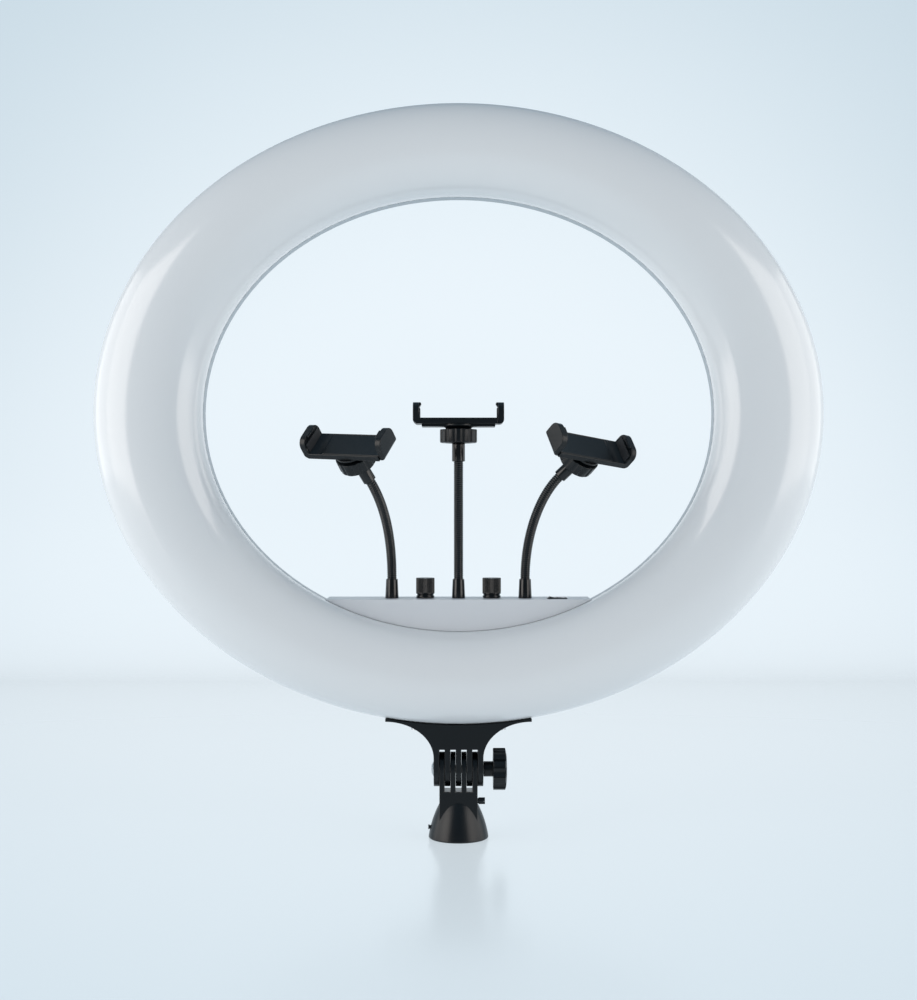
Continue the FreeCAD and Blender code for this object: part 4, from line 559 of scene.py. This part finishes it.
# control knobs: waisted foot, fine vertical flutes and a rounded cap with a pointer groove
controlKnob = {"radius": 7.2, "foot": 7.05, "waist": 6.4, "waistEase": 0.4, "lift": 0.3, "footHeight": 1.6,
               "waistHeight": 1.7, "height": 12.4, "roof": 2.4, "rim": 1.6, "rimDrop": 0.15,
               "middleDrop": 0.3, "flutes": 36, "fluteDepth": 0.32, "fluteFade": 0.6, "fluteFrom": 6.6,
               "levels": 5, "levelsFrom": 0.5, "levelsTo": 9.4,
               "columns": 432, "shaft": 3.02, "recess": 4.1, "recessDepth": 2.6,
               "pointerHalf": 0.45, "pointerFrom": -2.2, "pointerDepth": 0.35, "pointerBand": 0.6,
               "brightness": -25.9, "colour": 25.9, "sharpAbove": 50}


# flute depth = depth * (0.5 - 0.5 * cos(flutes * angle)), which fades out towards both ends of the grip
def knobFlutes(angle, height, radius):
    k = controlKnob
    fade = k["fluteFade"] * mm
    low = (k["lift"] + k["footHeight"] + k["waistHeight"]) * mm
    top = low + k["height"] * mm
    rise = np.clip((height - low - fade) / fade, 0, 1) * np.clip((top - height) / fade, 0, 1)
    wave = 0.5 - 0.5 * np.cos(angle * k["flutes"])
    return np.where(radius > k["fluteFrom"] * mm, rise * wave * k["fluteDepth"] * mm, 0)


def controlCap(kind):
    k = controlKnob
    foot = k["lift"] + k["footHeight"]
    waist = foot + k["waistHeight"]
    top = waist + k["height"]
    fluteLow = waist + 2 * k["fluteFade"]
    grip = [(k["radius"], waist + k["fluteFade"]), (k["radius"], fluteLow)]
    levels = np.linspace(k["levelsFrom"], k["levelsTo"], k["levels"])
    grip += [(k["radius"], fluteLow + level) for level in levels]
    profile = [(0, top - k["roof"]), (k["shaft"], top - k["roof"]), (k["shaft"], k["recessDepth"]),
               (k["recess"], k["recessDepth"]), (k["recess"], k["lift"]), (k["foot"], k["lift"]),
               (k["foot"], foot), (k["waist"], foot + k["waistEase"]), (k["waist"], waist - k["waistEase"]),
               (k["radius"], waist)]
    profile += grip
    profile += [(k["radius"], top), (k["radius"] - k["rim"], top - k["rimDrop"]), (0, top - k["middleDrop"])]
    radii = [0, 0, 0, 0, 0, 0.4, 0.4, 0.3, 0.3, 0.4] + [0] * len(grip) + [1.3, 0.3, 0]
    piece = turnedInMm(f"{kind}Cap", profile, radii, k["columns"], knobFlutes, 6)
    coords = np.zeros(len(piece.data.vertices) * 3)
    piece.data.vertices.foreach_get("co", coords)
    coords = coords.reshape(-1, 3)
    pointer = ((np.abs(coords[:, 0]) < k["pointerHalf"] * mm) & (coords[:, 1] < k["pointerFrom"] * mm)
               & (coords[:, 2] > (top - k["pointerBand"]) * mm))
    coords[pointer, 2] -= k["pointerDepth"] * mm
    piece.data.vertices.foreach_set("co", coords.ravel())
    shadeSmooth(piece, k["sharpAbove"])
    placeMesh(piece, Matrix.Translation(Vector((k[kind], controlRow["y"], controlRow["panelTop"])) * mm))
    finishPiece(piece, f"{kind}_control", controlAbs, "black_plastic", f"{kind}_knob")


controlCap("brightness")
controlCap("colour")

# tilt knob: eight rounded lobes round a domed face, on a slim hub
tiltKnob = {"hub": 5.9, "hubLength": 7.3, "radius": 16.5, "length": 10.8, "dome": 1.6, "lobes": 8,
            "cutter": 4.6, "depth": 3.4, "soft": 1.2, "softShare": 0.12, "lobesFrom": 9, "columns": 384,
            "start": 19.35, "pivotZ": 52.8, "faceShares": (0.96, 0.86, 0.72, 0.55, 0.3),
            "insertStart": 3.0, "insertLength": 11.6, "insert": 4.32, "boltHole": 3.2, "sharpAbove": 50}


# each lobe ends at away * cos a - sqrt(cutter^2 - (away * sin a)^2), where a round cutter meets the rim;
# what is over that limit comes off, and it is softened much as in the collar
def lobes(angle, height, radius):
    k = tiltKnob
    pitch = 2 * np.pi / k["lobes"]
    away = k["radius"] + k["cutter"] - k["depth"]
    a = (angle + pitch / 2) % pitch - pitch / 2
    inside = np.maximum(k["cutter"] ** 2 - (away * np.sin(a)) ** 2, 0)
    edge = np.where(inside > 0, away * np.cos(a) - np.sqrt(inside), k["radius"])
    limit = np.minimum(edge, k["radius"]) * mm
    soft = k["soft"] * mm
    over = radius - limit
    off = (over + np.sqrt(over**2 + soft**2)) / 2 - soft * k["softShare"]
    return np.where(radius > k["lobesFrom"] * mm, np.clip(off, 0, None), 0)


# the face falls by half the dome * (share^2 + share^6), with share the part of the radius from the middle
def tiltKnobPiece():
    k = tiltKnob
    whole = k["hubLength"] + k["length"]
    half = k["dome"] / 2
    face = [(k["radius"] * share, whole - half * share**2 - half * share**6) for share in k["faceShares"]]
    inner = k["insertStart"] + k["insertLength"]
    profile = [(0, inner), (k["insert"], inner), (k["insert"], k["insertStart"]),
               (k["boltHole"], k["insertStart"]), (k["boltHole"], 0), (k["hub"], 0),
               (k["hub"], k["hubLength"]), (k["radius"], k["hubLength"]),
               (k["radius"], whole - k["dome"])] + face + [(0, whole)]
    radii = [0, 0, 0, 0, 0, 0.4, 0.8, 0.8, 0.9] + [0] * len(face) + [0]
    piece = turnedInMm("starKnob", profile, radii, k["columns"], lobes, 6)
    shadeSmooth(piece, k["sharpAbove"])
    place = Matrix.Translation(Vector((k["start"], 0, k["pivotZ"])) * mm)
    placeMesh(piece, place @ Matrix.Rotation(math.radians(90), 4, "Y"))
    finishPiece(piece, "tilt_handle", clampNylon, "black_plastic", "tilt_knob")


tiltKnobPiece()
print("knobs")

# moulded parts keep the CAD's faces, with every hard outer edge eased by a small round
eased = {"segments": 2, "angle": 35, "sharpAbove": 16, "mergeMm": 0.002, "flatAngle": 0.6}

# the moulded round under each jaw, at one end of the clamp and at the height of the plate's underside
clampCorner = {"end": 35.4, "level": 7, "radius": 3.4, "segments": 6, "near": 0.1}


# rounds the edges of a clamp whose two points lie on one of its ends and on the plate's underside
def roundCorner(mesh, side, end):
    inClamp = clampMatrix(side).inverted()
    near = clampCorner["near"]

    def onCorner(vert):
        at = inClamp @ vert.co / mm
        return abs(at.x - end) < near and abs(at.z - clampCorner["level"]) < near

    edges = [edge for edge in mesh.edges if all(onCorner(vert) for vert in edge.verts)]
    bmesh.ops.bevel(mesh, geom=edges, offset=clampCorner["radius"] * mm, segments=clampCorner["segments"],
                    profile=0.5, affect="EDGES", clamp_overlap=False)


# a merged copy of a node's mesh: flat faces joined, then a bevel on every convex edge over the angle
def easedCopy(node, name, body, material, slot, width, corner=None):
    mesh = bmesh.new()
    mesh.from_mesh(nodes[node].data)
    bmesh.ops.remove_doubles(mesh, verts=mesh.verts, dist=eased["mergeMm"] * mm)
    bmesh.ops.dissolve_limit(mesh, angle_limit=math.radians(eased["flatAngle"]), verts=mesh.verts,
                             edges=mesh.edges)
    if corner:
        roundCorner(mesh, *corner)
    weight = mesh.edges.layers.float.new("bevel_weight_edge")
    for edge in mesh.edges:
        outward = edge.calc_face_angle_signed(0)
        edge[weight] = 1.0 if outward > math.radians(eased["angle"]) else 0.0
    data = bpy.data.meshes.new(name)
    mesh.to_mesh(data)
    mesh.free()
    piece = bpy.data.objects.new(name, data)
    bpy.context.scene.collection.objects.link(piece)
    bevel = piece.modifiers.new("easedEdges", "BEVEL")
    bevel.limit_method = "WEIGHT"
    bevel.width = width * mm
    bevel.segments = eased["segments"]
    bevel.use_clamp_overlap = False
    bevel.miter_outer = "MITER_ARC"
    flatter = piece.modifiers.new("flatFaces", "WEIGHTED_NORMAL")
    flatter.keep_sharp = True
    shadeSmooth(piece, eased["sharpAbove"])
    finishPiece(piece, body, material, slot, node)


for side in sides:
    easedCopy(f"{side}_clamp_body", f"{side}ClampPlate", f"{side}_clamp", clampNylon, "black_plastic", 0.4,
              (side, -clampCorner["end"]))
    easedCopy(f"{side}_clamp_jaw", f"{side}SlidingJaw", f"{side}_jaw", clampNylon, "black_plastic", 0.35,
              (side, clampCorner["end"]))
    easedCopy(f"{side}_clamp_cover", f"{side}SocketCover", f"{side}_clamp", clampNylon, "black_plastic", 0.2)
easedCopy("ring_bracket", "saddleBracket", "ring_head", clampNylon, "black_plastic", 0.4)
easedCopy("stand_socket", "spigotSocket", "stand_base", clampNylon, "black_plastic", 0.4)
easedCopy("power_rocker", "rockerCap", "rocker", controlAbs, "black_plastic", 0.2)
easedCopy("switch_body", "rockerFrame", "ring_head", controlAbs, "black_plastic", 0.2)
easedCopy("control_box_shell", "controlPanel", "ring_head", panelAbs, "box_white", 0.3)
print("eased parts")

# studio in metres: a vinyl sweep that glows paler round a centre behind the ring, a painted pool of light,
# with two tall panels on each side
studio = {
    "sweepHalf": 7.0, "front": -4.0, "bendStart": 1.0, "bendRadius": 1.2, "bendSteps": 24, "wallTop": 1.8,
    "glowCentre": (0, 1.35, 0.35), "glowReach": (1.1, 0.8, 1.25), "glowNear": 0.62, "glowFar": 2.0,
    "glowBright": "#eff7fc", "glowDim": "#cbdae3", "paperShare": 0.88,
    "paperBody": "#6f777c", "sheenRoughness": 0.2, "sheenIor": 1.4,
    "airLow": "#5f686f", "airHigh": "#7e9bb0", "airStrength": 1.0,
}


# floor, a quarter circle and a wall, carried straight across
def sweepBackdrop():
    bend = np.linspace(0, np.pi / 2, studio["bendSteps"])
    y = np.concatenate([[studio["front"]], studio["bendStart"] + studio["bendRadius"] * np.sin(bend),
                        [studio["bendStart"] + studio["bendRadius"]]])
    z = np.concatenate([[0], studio["bendRadius"] * (1 - np.cos(bend)), [studio["wallTop"]]])
    x = np.linspace(-studio["sweepHalf"], studio["sweepHalf"], 3)
    grid = np.stack(np.broadcast_arrays(x[None, :], y[:, None], z[:, None]), -1)
    piece = newPiece("sweepBackdrop", grid, gridFaces(len(y), len(x), False, False))
    shadeSmooth(piece)
    return piece


# vinyl sweep: pale glow that fades outwards, a painted pool of light, a little diffuse for the shadow, a
# soft sheen at low angles
def backdropVinyl():
    material, tree = newMaterial("backdropVinyl")
    where = addNode(tree, "ShaderNodeTexCoord")
    centre = [-c * r for c, r in zip(studio["glowCentre"], studio["glowReach"])]
    moved = addNode(tree, "ShaderNodeMapping", inputs={"Location": centre, "Scale": studio["glowReach"]},
                    links={"Vector": where.outputs["Object"]})
    away = addNode(tree, "ShaderNodeVectorMath", {"operation": "LENGTH"},
                   links={0: moved.outputs["Vector"]})
    fade = addNode(tree, "ShaderNodeMapRange", {"interpolation_type": "SMOOTHSTEP"},
                   {"From Min": studio["glowNear"], "From Max": studio["glowFar"]},
                   {"Value": away.outputs["Value"]})
    colour = addNode(tree, "ShaderNodeMix", {"data_type": "RGBA"},
                     {6: linear(studio["glowBright"]), 7: linear(studio["glowDim"])},
                     {0: fade.outputs["Result"]})
    # the sweep's own emission is painted light, brightest round the centre
    glow = addNode(tree, "ShaderNodeEmission", inputs={"Strength": studio["paperShare"]},
                   links={"Color": colour.outputs[2]})
    matt = addNode(tree, "ShaderNodeBsdfDiffuse", inputs={"Color": linear(studio["paperBody"])})
    body = addNode(tree, "ShaderNodeAddShader", links={0: glow.outputs[0], 1: matt.outputs[0]})
    sheen = addNode(tree, "ShaderNodeBsdfGlossy", inputs={"Roughness": studio["sheenRoughness"]})
    facing = addNode(tree, "ShaderNodeFresnel", inputs={"IOR": studio["sheenIor"]})
    both = addNode(tree, "ShaderNodeMixShader",
                   links={0: facing.outputs[0], 1: body.outputs[0], 2: sheen.outputs[0]})
    out = addNode(tree, "ShaderNodeOutputMaterial")
    tree.links.new(both.outputs[0], out.inputs["Surface"])
    return material


backdrop = sweepBackdrop()
backdrop.data.materials.append(backdropVinyl())

# the air round the object: grey from the horizon, pale blue from overhead
world = bpy.data.worlds.new("studioAir")
bpy.context.scene.world = world
world.use_nodes = True
air = world.node_tree
air.nodes.clear()
airWhere = addNode(air, "ShaderNodeTexCoord")
airSplit = addNode(air, "ShaderNodeSeparateXYZ", links={"Vector": airWhere.outputs["Generated"]})
airColour = addNode(air, "ShaderNodeMix", {"data_type": "RGBA"},
                    {6: linear(studio["airLow"]), 7: linear(studio["airHigh"])}, {0: airSplit.outputs["Z"]})
airShader = addNode(air, "ShaderNodeBackground", inputs={"Strength": studio["airStrength"]},
                    links={"Color": airColour.outputs[2]})
airOut = addNode(air, "ShaderNodeOutputWorld")
air.links.new(airShader.outputs[0], airOut.inputs["Surface"])

# panels of light, one height, all turned to one point above the ring's middle: place, width, watts and tint
panelLight = {"height": 1.6, "target": (0, 0, 0.4)}
panels = {
    "leftRearPanel": ((-1.77, 0.09, 0.55), 1.2, 12.4, "#fffbf7"),
    "leftPanel": ((-1.46, -0.96, 0.55), 1.08, 19.6, "#fff8f2"),
    "rightRearPanel": ((1.77, 0.09, 0.55), 1.2, 11.8, "#fffbf7"),
    "rightPanel": ((1.46, -0.96, 0.55), 1.08, 16.4, "#fff8f2"),
}
for name, (place, width, watts, tint) in panels.items():
    lamp = bpy.data.lights.new(name, "AREA")
    lamp.shape = "RECTANGLE"
    lamp.size = width
    lamp.size_y = panelLight["height"]
    lamp.energy = watts
    lamp.color = linear(tint)[:3]
    box = bpy.data.objects.new(name, lamp)
    bpy.context.scene.collection.objects.link(box)
    box.location = place
    facing = Vector(panelLight["target"]) - Vector(place)
    box.rotation_euler = facing.to_track_quat("-Z", "Y").to_euler()

# the photo's view: level and square on, with its focal length in pixels of a picture 1000 pixels high
photoView = {"focal": 1517, "longSide": 1000, "sensor": 36, "place": (0, -1.171, 0.2603)}
camera = bpy.data.objects.new("photoCamera", bpy.data.cameras.new("photoCamera"))
bpy.context.scene.collection.objects.link(camera)
camera.data.sensor_width = photoView["sensor"]
camera.data.lens = photoView["sensor"] * photoView["focal"] / photoView["longSide"]
camera.location = photoView["place"]
camera.rotation_euler = (math.radians(90), 0, 0)
bpy.context.scene.camera = camera
bpy.context.scene.view_settings.view_transform = "Standard"
print("studio, panels and camera")
